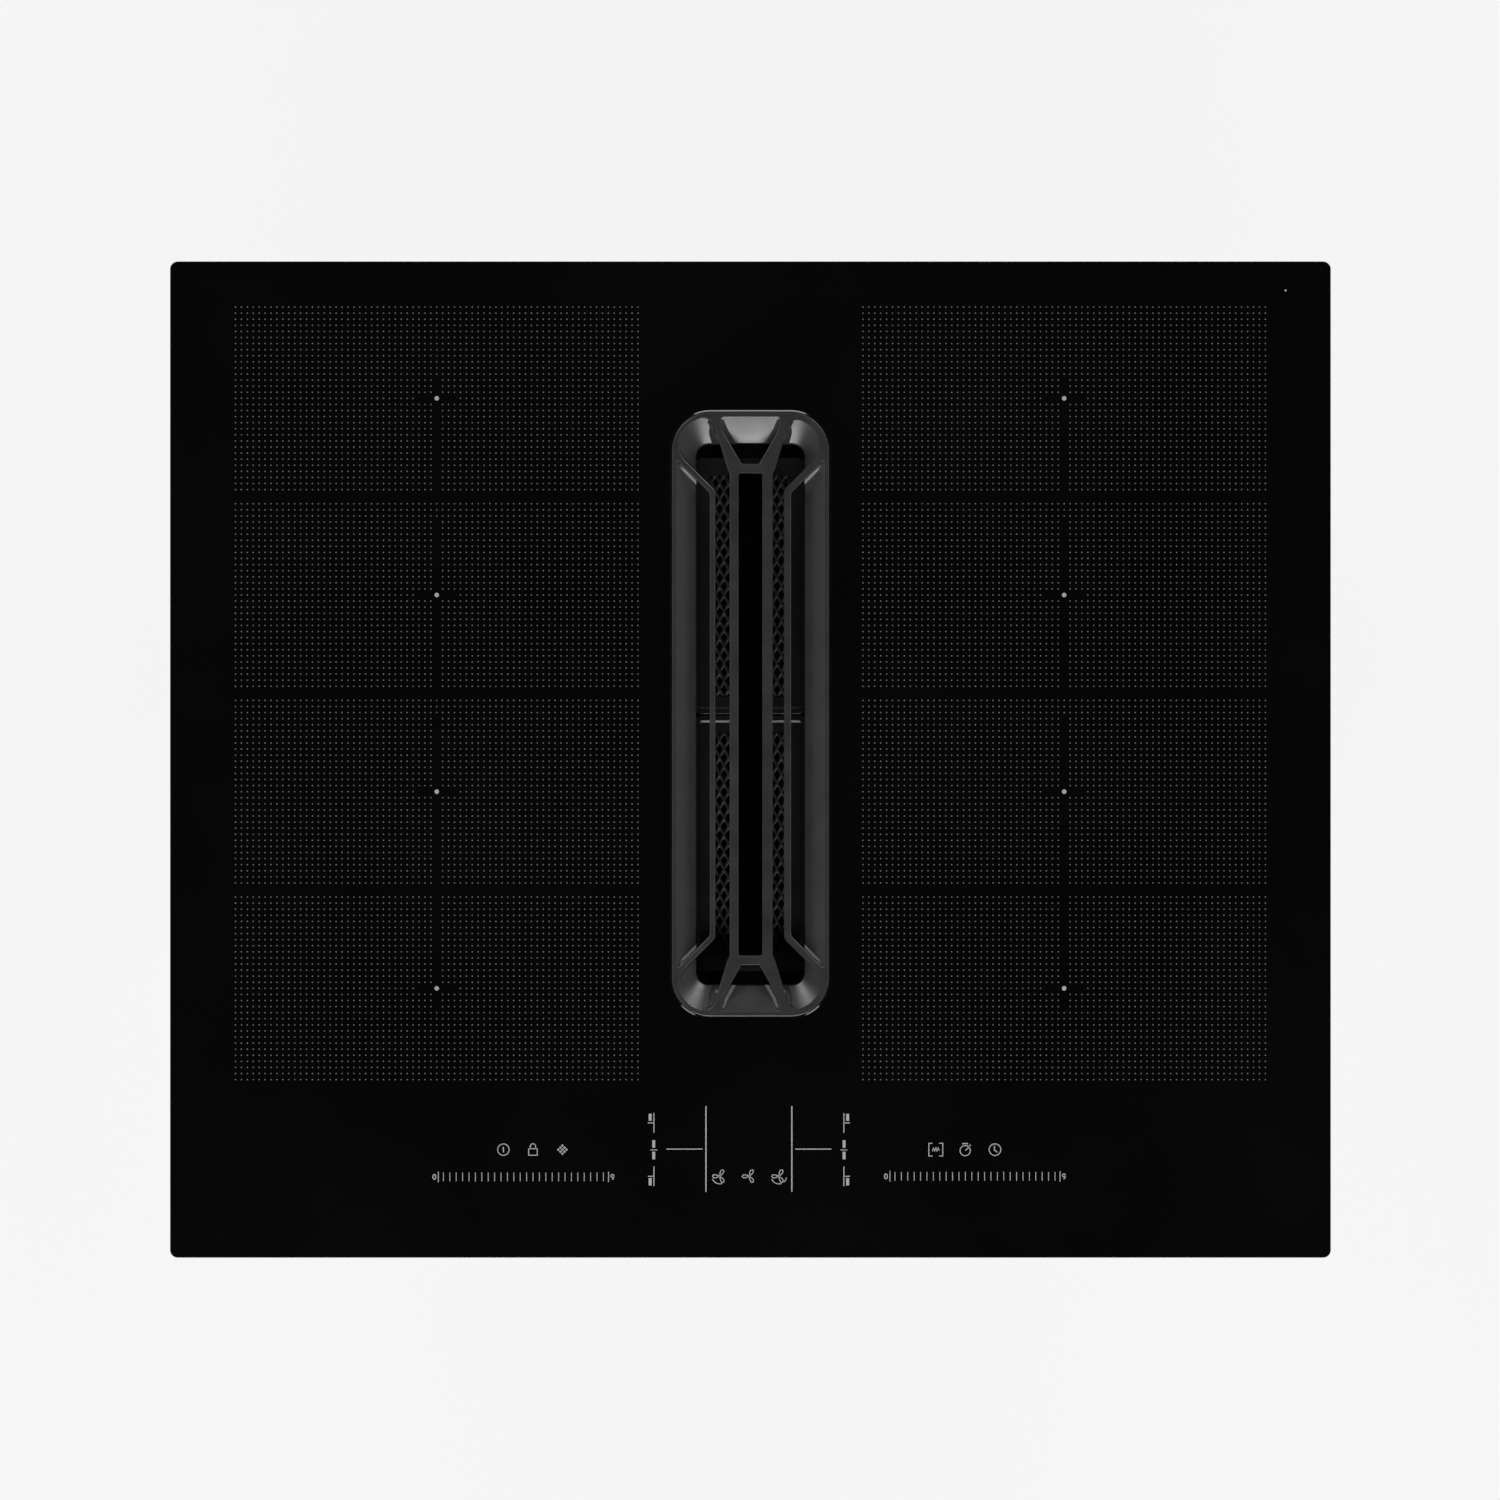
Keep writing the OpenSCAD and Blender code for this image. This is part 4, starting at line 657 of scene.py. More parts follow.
# %% Selector lines
MIRROR_X = -0.8
FRAME_LINE_X, FRAME_LINE_W = -23.0, 0.62
selector_bars = [
    (FRAME_LINE_X - FRAME_LINE_W / 2, FRAME_LINE_X + FRAME_LINE_W / 2, -223.4, -179.1),
    (-43.4, -24.8, -201.55, -201.05),
    (-50.15, -49.65, -192.8, -182.7), (-52.6, -51.05, -186.7, -183.1),
    (-53.0, -50.4, -188.05, -187.55),
    (-50.75, -49.25, -200.6, -196.7), (-50.75, -49.25, -206.6, -202.7),
    (-51.7, -48.1, -201.95, -201.55),
    (-50.15, -49.65, -220.4, -210.3), (-52.6, -51.05, -220.1, -216.3),
    (-53.0, -50.4, -215.65, -215.15),
]
selector_meshes = []
for x0, x1, y0, y1 in selector_bars:
    selector_meshes.append(flat_face(oblong(x0, x1, y0, y1)))
    selector_meshes.append(flat_face(oblong(2 * MIRROR_X - x1, 2 * MIRROR_X - x0, y0, y1)))
print("bars of the selector:", len(selector_meshes))

# %% Fan symbols
FAN_Y, FAN_XS = -215.3, (-15.9, -0.6, 14.7)
BLADE = [(0.35, 0.5), (0.1, 1.6), (0.6, 2.9), (1.7, 3.3), (2.2, 2.5), (1.6, 1.4), (0.75, 0.55)]
HUB_R, HUB_W, BLADE_W = 0.5, 0.4, 0.42
AIR_R, AIR_ARCS = 4.0, ([(200, 290)], [], [(200, 290), (310, 350)])
SENSOR_PLACE, SENSOR_R = (276.6, 242.5), 0.5

for x, air_arcs in zip(FAN_XS, AIR_ARCS):
    selector_meshes.append(drawn(x, FAN_Y, circle(HUB_R, 10), HUB_W, True))
    for turn in range(3):
        selector_meshes.append(ribbon(moved(BLADE, x, FAN_Y, math.tau * turn / 3), BLADE_W, True))
    for start, end in air_arcs:
        air = arc((0, 0), AIR_R, math.radians(start), math.radians(end))
        selector_meshes.append(drawn(x, FAN_Y, air, BLADE_W))
show_print("field_selector", selector_meshes)
show_print("light_sensor_dot", flakes([SENSOR_PLACE], SENSOR_R, 12))

# %% [markdown]
# ## The grille's openings
# Seen from above, the grille is a rim with seven openings: a slot for the inlay, a vent at each
# end, a narrow opening along each side and two long ones beside the beam. Where a rib runs into
# the rim, an arc touches both, so its centre lies where two conditions meet: one radius away from
# the rib's edge, and inside the mouth's corner arc by the same radius.

# %% Sizes of the rim, the ribs and the beam
RIM = 2.9
MOUTH_W, MOUTH_D, MOUTH_R = GRILLE_W - 2 * RIM, GRILLE_D - 2 * RIM, 17.1
BEAM_HALF, BEAM_END, CROSS_RIB, BEAM_BEND_R = 10.8, 129.5, 4.8, 5.0
POCKET_W, POCKET_D, POCKET_R = 12.3, 249.4, 1.2
FORK_FOOT, FORK_TOP, FORK_BLEND = 12.0, 20.3, 6.0
VENT_FOOT, VENT_BEND, VENT_TOP, VENT_R, VENT_BEND_R = 4.5, 14.0, 15.3, 1.2, 5.0
VENT_BEND_SHARE = 0.7
VENT_BEND_Y = BEAM_END + VENT_BEND_SHARE * (MOUTH_D / 2 - BEAM_END)
RIB_X, RIB_HALF, RIB_END, RIB_BLEND, RIB_BEND_R = 19.6, 1.475, 115.1, 12.0, 4.0
RIB_IN, RIB_OUT_X = RIB_X - RIB_HALF, RIB_X + RIB_HALF
RIB_MITRE = RIB_HALF * math.tan(math.pi / 8)
RUN, SIDE_TIP_R = 8, 0.6
FORK_FOOT_Y = BEAM_END - CROSS_RIB / 2
RIM_MIDDLE = MOUTH_D / 2 + RIM / 2
CORNER = Vector((MOUTH_W / 2 - MOUTH_R, MOUTH_D / 2 - MOUTH_R))
print("mouth of the grille:", round(MOUTH_W, 1), "x", round(MOUTH_D, 1), "mm")

# %% Where a rib meets the rim
def angle_of(direction):
    return math.atan2(direction.y, direction.x)


def rim_blend(start, along, inward, radius):
    """Centre and end angles of the arc that joins a rib's edge to the mouth's corner arc."""
    base = start + inward * radius - CORNER
    step = base.dot(along)
    reach = MOUTH_R - radius
    centre = CORNER + base + along * (math.sqrt(step ** 2 - base.dot(base) + reach ** 2) - step)
    return centre, angle_of(-inward), angle_of(centre - CORNER)


arm_foot = Vector((FORK_FOOT, FORK_FOOT_Y))
arm_along = (Vector((FORK_TOP, RIM_MIDDLE)) - arm_foot).normalized()
arm_centre, arm_start, arm_stop = rim_blend(arm_foot, arm_along,
                                            Vector((arm_along.y, -arm_along.x)), FORK_BLEND)
ARM_ARC = arc(arm_centre, FORK_BLEND, arm_start, arm_stop)
rib_along = Vector((1, 1)).normalized()
rib_centre, rib_stop, rib_start = rim_blend(Vector((RIB_IN, RIB_END + RIB_MITRE)), rib_along,
                                            Vector((-rib_along.y, rib_along.x)), RIB_BLEND)
RIB_ARC = arc(rib_centre, RIB_BLEND, rib_start, rib_stop)
print("an arm leans", round(math.degrees(angle_of(arm_along)), 1), "degrees from the cross")

# %% Outlines of the openings
def beside_beam(side):
    """From the beam's side up the arm, round the corner and down the side rib, and back."""
    foot = rounded_corners([(BEAM_HALF, FORK_FOOT_Y - RUN, 0),
                            (BEAM_HALF, FORK_FOOT_Y - 2, BEAM_BEND_R), (FORK_FOOT, FORK_FOOT_Y, 0)])
    bend = rounded_corners([(RIB_IN + RUN, RIB_END + RIB_MITRE + RUN, 0),
                            (RIB_IN, RIB_END + RIB_MITRE, RIB_BEND_R), (RIB_IN, RIB_END - RUN, 0)])
    quarter = foot + ARM_ARC + arc(CORNER, MOUTH_R, arm_stop, rib_start)[1:-1] + RIB_ARC + bend
    whole = quarter + [(x, -y) for x, y in reversed(quarter)]
    return at_intake([(side * x, y) for x, y in whole])


def side_opening(side):
    low = RIB_END - RIB_MITRE
    tip = low + MOUTH_W / 2 - RIB_OUT_X
    corners = [(RIB_OUT_X, low, RIB_BEND_R), (MOUTH_W / 2, tip, SIDE_TIP_R),
               (MOUTH_W / 2, -tip, SIDE_TIP_R), (RIB_OUT_X, -low, RIB_BEND_R)]
    return at_intake([(side * x, y) for x, y in rounded_corners(corners)])


def vent(end):
    corners = [(-VENT_FOOT, BEAM_END, VENT_R), (VENT_FOOT, BEAM_END, VENT_R),
               (VENT_BEND, VENT_BEND_Y, VENT_BEND_R), (VENT_TOP, MOUTH_D / 2, VENT_R),
               (-VENT_TOP, MOUTH_D / 2, VENT_R), (-VENT_BEND, VENT_BEND_Y, VENT_BEND_R)]
    return at_intake([(x, end * y) for x, y in rounded_corners(corners)])


pocket = at_intake(rounded_rectangle(POCKET_W, POCKET_D, POCKET_R, 4))
vents = [vent(-1), vent(1)]
openings = [beside_beam(-1), beside_beam(1), side_opening(-1), side_opening(1)] + vents
print("points round the openings:", [len(outline) for outline in openings])

# %% Face, ribs and beam
OUTER_R = 20.0
GRILLE_Z, GRILLE_TOP = grille_low.z, grille_high.z
RIB_H, BEAM_H, FACE_EDGE, KEEL_EDGE = 8.0, 11.0, 0.7, 0.4
CAP_H, CAP_EDGE = 2.0, 0.1
fork = [(BEAM_HALF, FORK_FOOT_Y - 2), (FORK_FOOT, FORK_FOOT_Y), (FORK_TOP, RIM_MIDDLE)]
fork += [(-x, y) for x, y in reversed(fork)]
fork += [(-x, -y) for x, y in fork]
face_mesh = plate("face", [at_intake(rounded_rectangle(GRILLE_W, GRILLE_D, OUTER_R, 16)), pocket]
                  + openings, GRILLE_TOP - RIB_H, GRILLE_TOP, FACE_EDGE, 6)
keel_mesh = plate("keel", [at_intake(fork)] + vents, GRILLE_TOP - BEAM_H, GRILLE_TOP - RIB_H,
                  KEEL_EDGE)
collar = at_intake(rounded_rectangle(POCKET_W + 2 * FACE_EDGE, POCKET_D + 2 * FACE_EDGE,
                                     POCKET_R + FACE_EDGE, 4))
feet = [at_intake(oblong(-VENT_FOOT, VENT_FOOT, end * (BEAM_END - FACE_EDGE), end * BEAM_END))
        for end in (-1, 1)]
caps = [plate("cap", outlines, GRILLE_TOP - CAP_H, GRILLE_TOP, CAP_EDGE, 1)
        for outlines in ([collar, pocket], [feet[0]], [feet[1]])]
print("faces in the grille's face:", len(face_mesh.polygons))

# %% [markdown]
# ## The grille's funnel
# Under the rim a slope leads down to an upright throat, and a skirt outside it stands on rubber
# pads. Its section is the same all round, only with other sizes along the sides and the ends, so
# a loft through rounded rectangles describes it exactly.

# %% Loft the funnel
THROAT_W, THROAT_D, THROAT_R, FUNNEL_H = 56.2, 280.3, 6.7, 7.0
SKIRT, SHEET, PARTING, SKIRT_EDGE, LIP = 2.4, 2.8, 0.15, 0.3, 0.5
SLOPE_TOP = 0.36


def slope_size(share, grow=0.0):
    """Width, depth and corner radius of the funnel, 0 at the mouth and 1 at the throat."""
    sizes = ((MOUTH_W, THROAT_W, 2), (MOUTH_D, THROAT_D, 2), (MOUTH_R, THROAT_R, 1))
    return [mouth + (throat - mouth) * share + factor * grow for mouth, throat, factor in sizes]


def funnel_ring(depth_below, grow=0.0):
    return ring(*slope_size(min(depth_below / FUNNEL_H, 1), grow), GRILLE_TOP - depth_below)


def skirt_ring(inset, z):
    return ring(GRILLE_W - 2 * inset, GRILLE_D - 2 * inset, OUTER_R - inset, z)


funnel_rings = [
    skirt_ring(PARTING + SKIRT_EDGE, GRILLE_Z), skirt_ring(PARTING, GRILLE_Z + SKIRT_EDGE),
    skirt_ring(PARTING, GRILLE_TOP - RIB_H + 1.0), ring(*slope_size(0, 0.7), GRILLE_TOP - 1.0),
    ring(*slope_size(0, 0.3), GRILLE_TOP - 0.16), ring(*slope_size(0), GRILLE_TOP - SLOPE_TOP),
    funnel_ring(2.5), funnel_ring(5.0),
    funnel_ring(FUNNEL_H - 0.25), ring(*slope_size(1), GRILLE_TOP - FUNNEL_H - 0.35),
    funnel_ring(GRILLE_H - LIP), funnel_ring(GRILLE_H, 0.4), funnel_ring(GRILLE_H, SHEET - LIP),
    funnel_ring(GRILLE_H - LIP, SHEET), funnel_ring(FUNNEL_H, SHEET),
    skirt_ring(SKIRT, GRILLE_TOP - 1.7), skirt_ring(SKIRT, GRILLE_Z + SKIRT_EDGE),
    skirt_ring(SKIRT - SKIRT_EDGE, GRILLE_Z)]
funnel_mesh = loft("funnel", funnel_rings)
print("funnel rings:", len(funnel_rings))

# %% [markdown]
# ## Feet of the ribs on the slope
# A casting has no sharp inner corners: wherever a rib stands on the slope, a foot fills the angle,
# and in the photograph these feet are the bright or dark strips beside the ribs. A foot's section
# is a row of pairs, the distance from the wall and the height over the slope. The height of the
# slope at a place is found by halving: the right ring of the funnel is the one that passes there.

# %% Height of the slope
HALVINGS, PAST_THROAT = 22, 1.6


def slope_z(x, y):
    """Height of the funnel's slope at a place given from the intake's centre."""
    low, high = 0.0, PAST_THROAT
    for _ in range(HALVINGS):
        share = (low + high) / 2
        width, depth, radius = slope_size(share)
        over_x, over_y = abs(x) - width / 2 + radius, abs(y) - depth / 2 + radius
        outside = math.hypot(max(over_x, 0), max(over_y, 0)) + min(max(over_x, over_y), 0) > radius
        low, high = (low, share) if outside else (share, high)
    return GRILLE_TOP - max(low * FUNNEL_H, SLOPE_TOP)


halfway = GRILLE_TOP - slope_z(0, (MOUTH_D + THROAT_D) / 4)
print("halfway to the throat the slope lies", round(halfway, 2), "mm down")

# %% Cut a foot off at the throat
PAST_EDGE = 0.02


def ended_at_throat(mesh, axis, sign):
    """Cut off what would hang in the throat; axis 0 is a long side, 1 an end."""
    at, normal = Vector((0, INTAKE_Y * MM * axis, 0)), Vector((0, 0, 0))
    at[axis] += sign * ((THROAT_W, THROAT_D)[axis] / 2 + PAST_EDGE) * MM
    normal[axis] = sign
    work = bmesh.new()
    work.from_mesh(mesh)
    cut = bmesh.ops.bisect_plane(work, geom=work.verts[:] + work.edges[:] + work.faces[:],
                                 plane_co=at, plane_no=normal, clear_inner=True)
    rim = [item for item in cut["geom_cut"] if isinstance(item, bmesh.types.BMEdge)]
    if rim:
        bmesh.ops.edgenet_fill(work, edges=rim)
    bmesh.ops.recalc_face_normals(work, faces=work.faces)
    work.to_mesh(mesh)
    work.free()
    return mesh


print("feet end within", PAST_EDGE, "mm of the throat")

# %% Sweep a foot along a wall
FOOT_SHRINK, FOOT_ROOT, IN_THE_WALL, AT_THE_WALL = 0.2, 2.0, 0.3, 0.1


def rib_foot(wall, side, section, least, throat_axis):
    """Wall is a row of points in plan; the foot lies on the left of it for side 1."""
    rows = []
    for i, spot in enumerate(wall):
        ahead = Vector(wall[min(i + 1, len(wall) - 1)]) - Vector(wall[max(i - 1, 0)])
        across = side * Vector((-ahead.y, ahead.x)).normalized()
        depth_here = GRILLE_TOP - slope_z(*spot)
        size = min(1.0, least + FOOT_SHRINK * depth_here)
        toe = Vector(spot) + across * section[0][0] * size
        row = [(spot[0] - IN_THE_WALL * across.x, spot[1] - IN_THE_WALL * across.y,
                GRILLE_TOP - depth_here - FOOT_ROOT), (*toe, slope_z(*toe) - FOOT_ROOT)]
        for out, lift in section:
            at = Vector(spot) + across * (out * size - AT_THE_WALL * (out == 0))
            row.append((*at, min(slope_z(*at) + lift * size, GRILLE_TOP - FACE_EDGE)))
        rows.append(row)
    width = len(rows[0])
    vertices = [(x, y + INTAKE_Y, z) for row in rows for x, y, z in row]
    faces = [(i * width + j, (i + 1) * width + j, (i + 1) * width + (j + 1) % width,
              i * width + (j + 1) % width) for i in range(len(rows) - 1) for j in range(width)]
    faces += [tuple(range(width)), tuple(range(len(vertices) - width, len(vertices)))]
    return ended_at_throat(welded(mesh_of("foot", vertices, faces)), throat_axis,
                           math.copysign(1, wall[-1][throat_axis]))


print("foot helper ready")

# %% Walls that get a foot
VENT_FOOT_SECTION = [(2.8, -0.05), (1.0, 0.68), (0.35, 2.4), (0.0, 6.0)]
ARM_FOOT_SECTION = [(3.9, -0.05), (2.7, 1.7), (1.3, 4.0), (0.0, 7.0)]
RIB_FOOT_SECTION = [(1.75, -0.05), (0.45, 0.9), (0.1, 2.5), (0.0, 5.0)]
SMALL_FOOT_SECTION = [(1.3, -0.05), (0.8, 0.1), (0.35, 0.5), (0.1, 1.3), (0.0, 4.0)]
INSIDE_END, INSIDE_SIDE, SHORT_OF_RIM = 3.0, 2.5, 0.6
LEAST_FOOT, LEAST_SMALL_FOOT, LEAST_RIB_FOOT = 0.28, 0.3, 0.7
ON_THE_BLEND = slice(1, 5)


def stretch(start, end, steps=10):
    return [(start[0] + (end[0] - start[0]) * i / steps, start[1] + (end[1] - start[1]) * i / steps)
            for i in range(steps + 1)]


def quarter_walls():
    """Walls of one quarter: points, side, section, least size at the rim, throat axis."""
    inside_y, inside_x = THROAT_D / 2 - INSIDE_END, THROAT_W / 2 - INSIDE_SIDE
    near_x, near_y = MOUTH_W / 2 - SHORT_OF_RIM, MOUTH_D / 2 - SHORT_OF_RIM
    arm_low = arm_foot + arm_along * ((inside_y - arm_foot.y) / arm_along.y)
    arm_outer = stretch(arm_low, ARM_ARC[0]) + ARM_ARC[ON_THE_BLEND]
    vent_run = (VENT_BEND - VENT_FOOT) / (VENT_BEND_Y - BEAM_END)
    vent_low = (VENT_FOOT + vent_run * (inside_y - BEAM_END), inside_y)
    vent_wall = stretch(vent_low, (VENT_BEND, VENT_BEND_Y), 8)
    vent_wall += stretch((VENT_BEND, VENT_BEND_Y), (VENT_TOP - 0.1, near_y), 5)[1:]
    upper, lower = RIB_END + RIB_MITRE - RIB_IN, RIB_END - RIB_MITRE - RIB_OUT_X
    rib_rise = RIB_ARC[::-1]
    rib_upper = stretch((inside_x, inside_x + upper), rib_rise[0]) + rib_rise[ON_THE_BLEND]
    rib_lower = stretch((inside_x, inside_x + lower), (near_x, near_x + lower))
    return [(arm_outer, -1, ARM_FOOT_SECTION, LEAST_FOOT, 1),
            (vent_wall, 1, VENT_FOOT_SECTION, LEAST_FOOT, 1),
            (rib_upper, 1, SMALL_FOOT_SECTION, LEAST_SMALL_FOOT, 0),
            (rib_lower, -1, RIB_FOOT_SECTION, LEAST_RIB_FOOT, 0)]


print("walls in one quarter:", len(quarter_walls()))

# %% Cast the grille
foot_meshes = [rib_foot([(sx * x, sy * y) for x, y in wall], side * sx * sy, *how)
               for sx in (-1, 1) for sy in (-1, 1) for wall, side, *how in quarter_walls()]
show_piece("cast_grille", [funnel_mesh, face_mesh, keel_mesh] + caps + foot_meshes, "grille",
           "grille_coat", ["grille"], sharp=15)

# %% Inlay in the beam's pocket
INLAY_PLAY, INLAY_DROP, INLAY_T, INLAY_EDGE = 0.15, 5.0, 3.0, 0.35
inlay_outline = at_intake(rounded_rectangle(POCKET_W - 2 * INLAY_PLAY, POCKET_D - 2 * INLAY_PLAY,
                                            POCKET_R, 4))
show_piece("beam_inlay", plate("inlay", [inlay_outline], GRILLE_TOP - INLAY_DROP - INLAY_T,
                               GRILLE_TOP - INLAY_DROP, INLAY_EDGE), "grille", "inlay",
           ["grille_inlay"])

# %% [markdown]
# ## The filters
# Two filter cassettes lie under the grille. Each is a pressed frame round a sheet of expanded
# metal. The frame is lofted from rings that are set in from its outline: up the outer wall, over a
# raised rim, down a slope to the flat border and in under it. The slope of the rim is what catches
# the light across the middle of the intake.

# %% Filter frames
RIM_TOP_W, RIM_SLOPE_W, BORDER_W, BORDER_DROP = 2.6, 1.1, 9.0, 0.85
SHEET_T, FRAME_R, FRAME_EDGE, FOLD = 0.6, 5.0, 0.4, 1.0


def frame_ring(low, high, far, inset, far_inset, z):
    """Far is 1 when the end away from the other filter lies at the rear, else -1."""
    rear, front = (far_inset, inset) if far > 0 else (inset, far_inset)
    depth = high.y - low.y - rear - front
    outline = rounded_rectangle(high.x - low.x - 2 * inset, depth, max(FRAME_R - inset, 0.8), 6)
    return moved(outline, y=(low.y + front + high.y - rear) / 2), z


def filter_frame(node, far):
    low, high = corners_mm(node)
    top, bottom = high.z, low.z
    flat = top - BORDER_DROP
    steps = [(0.0, 0.0, bottom + FRAME_EDGE), (0.0, 0.0, top - 0.2), (0.05, 0.05, top - 0.05),
             (0.2, 0.2, top), (RIM_TOP_W, BORDER_W - 0.1, top),
             (RIM_TOP_W + RIM_SLOPE_W, BORDER_W - 0.05, flat), (BORDER_W, BORDER_W, flat),
             (BORDER_W, BORDER_W, flat - SHEET_T), (FOLD, FOLD, flat - SHEET_T),
             (FOLD, FOLD, bottom + FOLD), (BORDER_W, BORDER_W, bottom + FOLD),
             (BORDER_W, BORDER_W, bottom), (FRAME_EDGE, FRAME_EDGE, bottom)]
    return loft(node, [frame_ring(low, high, far, *step) for step in steps])


for end, far in (("front", -1), ("rear", 1)):
    show_piece("pressed_frame_" + end, filter_frame("filter_frame_" + end, far), "filter_" + end,
               "filter_steel", ["filter_frame_" + end], sharp=8)

# %% [markdown]
# ## Expanded metal
# Expanded metal is slit and stretched, so every strand ends up tilted. Each mesh cell here is a
# diamond ring of four quads between the cell's outline and its opening. The opening's rear corner
# is pushed down and its front corner up, so neighbouring cells together give tilted strands.

# %% Filter meshes
CELL_W, CELL_D, OPEN_SHARE, STRAND_LIFT = 4.6, 9.0, 0.64, 0.30
MESH_MARGIN, STRAND_T, WOBBLE = 2.5, 0.45, 0.06


def expanded_metal(node):
    low, high = corners_mm(node)
    middle = (low + high) / 2
    half_w = (high.x - low.x) / 2 - CELL_W - MESH_MARGIN
    half_d = (high.y - low.y) / 2 - CELL_D / 2 - MESH_MARGIN
    places = [((column + k) * CELL_W, (row + k) * CELL_D)
              for k in (0, 0.5) for column in range(-6, 7) for row in range(-8, 9)]
    vertices, faces = [], []
    for x, y in places:
        if abs(x) > half_w or abs(y) > half_d:
            continue
        start = len(vertices)
        for share, lift in ((1.0, 0.0), (OPEN_SHARE, STRAND_LIFT)):
            for sx, sy in ((0, 1), (1, 0), (0, -1), (-1, 0)):
                wobble = random.uniform(-WOBBLE, WOBBLE) if share < 1 else 0.0
                vertices.append((middle.x + x + sx * share * CELL_W / 2,
                                 middle.y + y + sy * share * CELL_D / 2,
                                 middle.z - sy * lift + wobble))
        faces += [(start + i, start + (i + 1) % 4, start + 4 + (i + 1) % 4, start + 4 + i)
                  for i in range(4)]
    return welded(mesh_of(node, vertices, faces))


random.seed(7)
for end in ("front", "rear"):
    piece = show_piece("expanded_metal_" + end, expanded_metal("filter_mesh_" + end),
                       "filter_" + end, "filter_mesh", ["filter_mesh_" + end])
    strands = piece.modifiers.new("strand thickness", "SOLIDIFY")
    strands.thickness, strands.offset = STRAND_T * MM, 0.0

# %% Filter handles
HANDLE_T, HANDLE_BEND, HANDLE_EDGE = 1.4, 3.0, 0.3
UPRIGHT = Matrix.Rotation(math.pi / 2, 4, "X")


def standing(outlines, front, rear, edge=0.5):
    """A plate drawn in the x-z plane that stands between two depths."""
    mesh = plate("standing", outlines, -rear, -front, edge)
    mesh.transform(UPRIGHT)
    return mesh


def handle(node):
    low, high = corners_mm(node)
    half, rise, inner = (high.x - low.x) / 2, high.z - low.z, HANDLE_BEND - HANDLE_T
    outline = rounded_corners([(-half, 0, 0), (-half, rise, HANDLE_BEND), (half, rise, HANDLE_BEND),
                               (half, 0, 0), (half - HANDLE_T, 0, 0),
                               (half - HANDLE_T, rise - HANDLE_T, inner),
                               (HANDLE_T - half, rise - HANDLE_T, inner), (HANDLE_T - half, 0, 0)])
    return standing([moved(outline, y=low.z)], low.y, high.y, HANDLE_EDGE)


for end in ("front", "rear"):
    show_piece("strap_handle_" + end, handle("filter_handle_" + end), "filter_" + end,
               "filter_steel", ["filter_handle_" + end])

# %% [markdown]
# ## Softening the other solids
# No moulding or folded sheet has knife edges. The measured solids that show from outside get
# copies with small rounded edges, which catch a line of light. Flat faces are joined first, so
# that the rounding meets long clean edges instead of the triangles of the solid.

# %% Copies with rounded edges
FLAT_ANGLE, ROUND_FROM = math.radians(0.6), math.radians(38)
SOFT_EDGES = {
    HOME: {"fan_case_lower": 0.6, "fan_case_upper": 0.6, "outlet_spigot": 0.5, "terminal_box": 0.7,
           "base_tray": 0.35, "intake_shaft": 0.4, "intake_collar": 0.3, "glass_frame": 0.3},
    "drip_tray": {"drip_tray": 0.4}, "flap": {"backflow_flap": 0.3},
    **{f"clamp_{n}": {f"worktop_clamp_{n}": 0.3} for n in (1, 2, 3, 4)},
}


def softened(node, body, width):
    work = bmesh.new()
    work.from_mesh(frame["nodes"][node].data)
    bmesh.ops.remove_doubles(work, verts=work.verts, dist=WELD_M)
    bmesh.ops.dissolve_limit(work, angle_limit=FLAT_ANGLE, verts=work.verts, edges=work.edges)
    mesh = bpy.data.meshes.new("soft_" + node)
    work.to_mesh(mesh)
    work.free()
    piece = show_piece("soft_" + node, mesh, body, SLOT_OF[node], [node])
    rounding = piece.modifiers.new("rounded edges", "BEVEL")
    rounding.width, rounding.segments = width * MM, 2
    rounding.limit_method, rounding.angle_limit = "ANGLE", ROUND_FROM
    rounding.harden_normals = True
    piece.modifiers.move(len(piece.modifiers) - 1, 0)


for body, edges in SOFT_EDGES.items():
    for node, width in edges.items():
        softened(node, body, width)

# %% [markdown]
# ## Ribs, beads and the gland
# Thin walls are stiffened where they are made: moulded walls get ribs, folded sheet gets pressed
# beads, and a duct end gets two sealing bands. All of them stand on the walls of the solids and
# stay inside the cooktop's outer size.

# %% Stiffen the walls
PLENUM_X, PLENUM_YS = 110.0, (-128.6, 175.4)
PLENUM_RIB_Z, PLENUM_RIBS_SIDE, PLENUM_RIBS_END = (95.5, 141.0), 10, 7
RIB_PITCH, RIB_OUT, RIB_W, RIB_EDGE, SUNK = 27.0, 1.6, 2.2, 0.45, 0.3


def stiffener(wall, along, turned):
    """A rib on a wall at a signed distance from the middle; turned walls face front or rear."""
    across = sorted((wall - math.copysign(SUNK, wall), wall + math.copysign(RIB_OUT, wall)))
    run = (along - RIB_W / 2, along + RIB_W / 2)
    outline = oblong(*run, *across) if turned else oblong(*across, *run)
    return plate("rib", [outline], *PLENUM_RIB_Z, RIB_EDGE)


def spread(count):
    return [(i - (count - 1) / 2) * RIB_PITCH for i in range(count)]


plenum_ribs = [stiffener(side * PLENUM_X, INTAKE_Y + step, False)
               for side in (-1, 1) for step in spread(PLENUM_RIBS_SIDE)]
plenum_ribs += [stiffener(wall, step, True) for step in spread(PLENUM_RIBS_END)
                for wall in PLENUM_YS]
show_piece("plenum_ribs", plenum_ribs, HOME, "case_plastic")

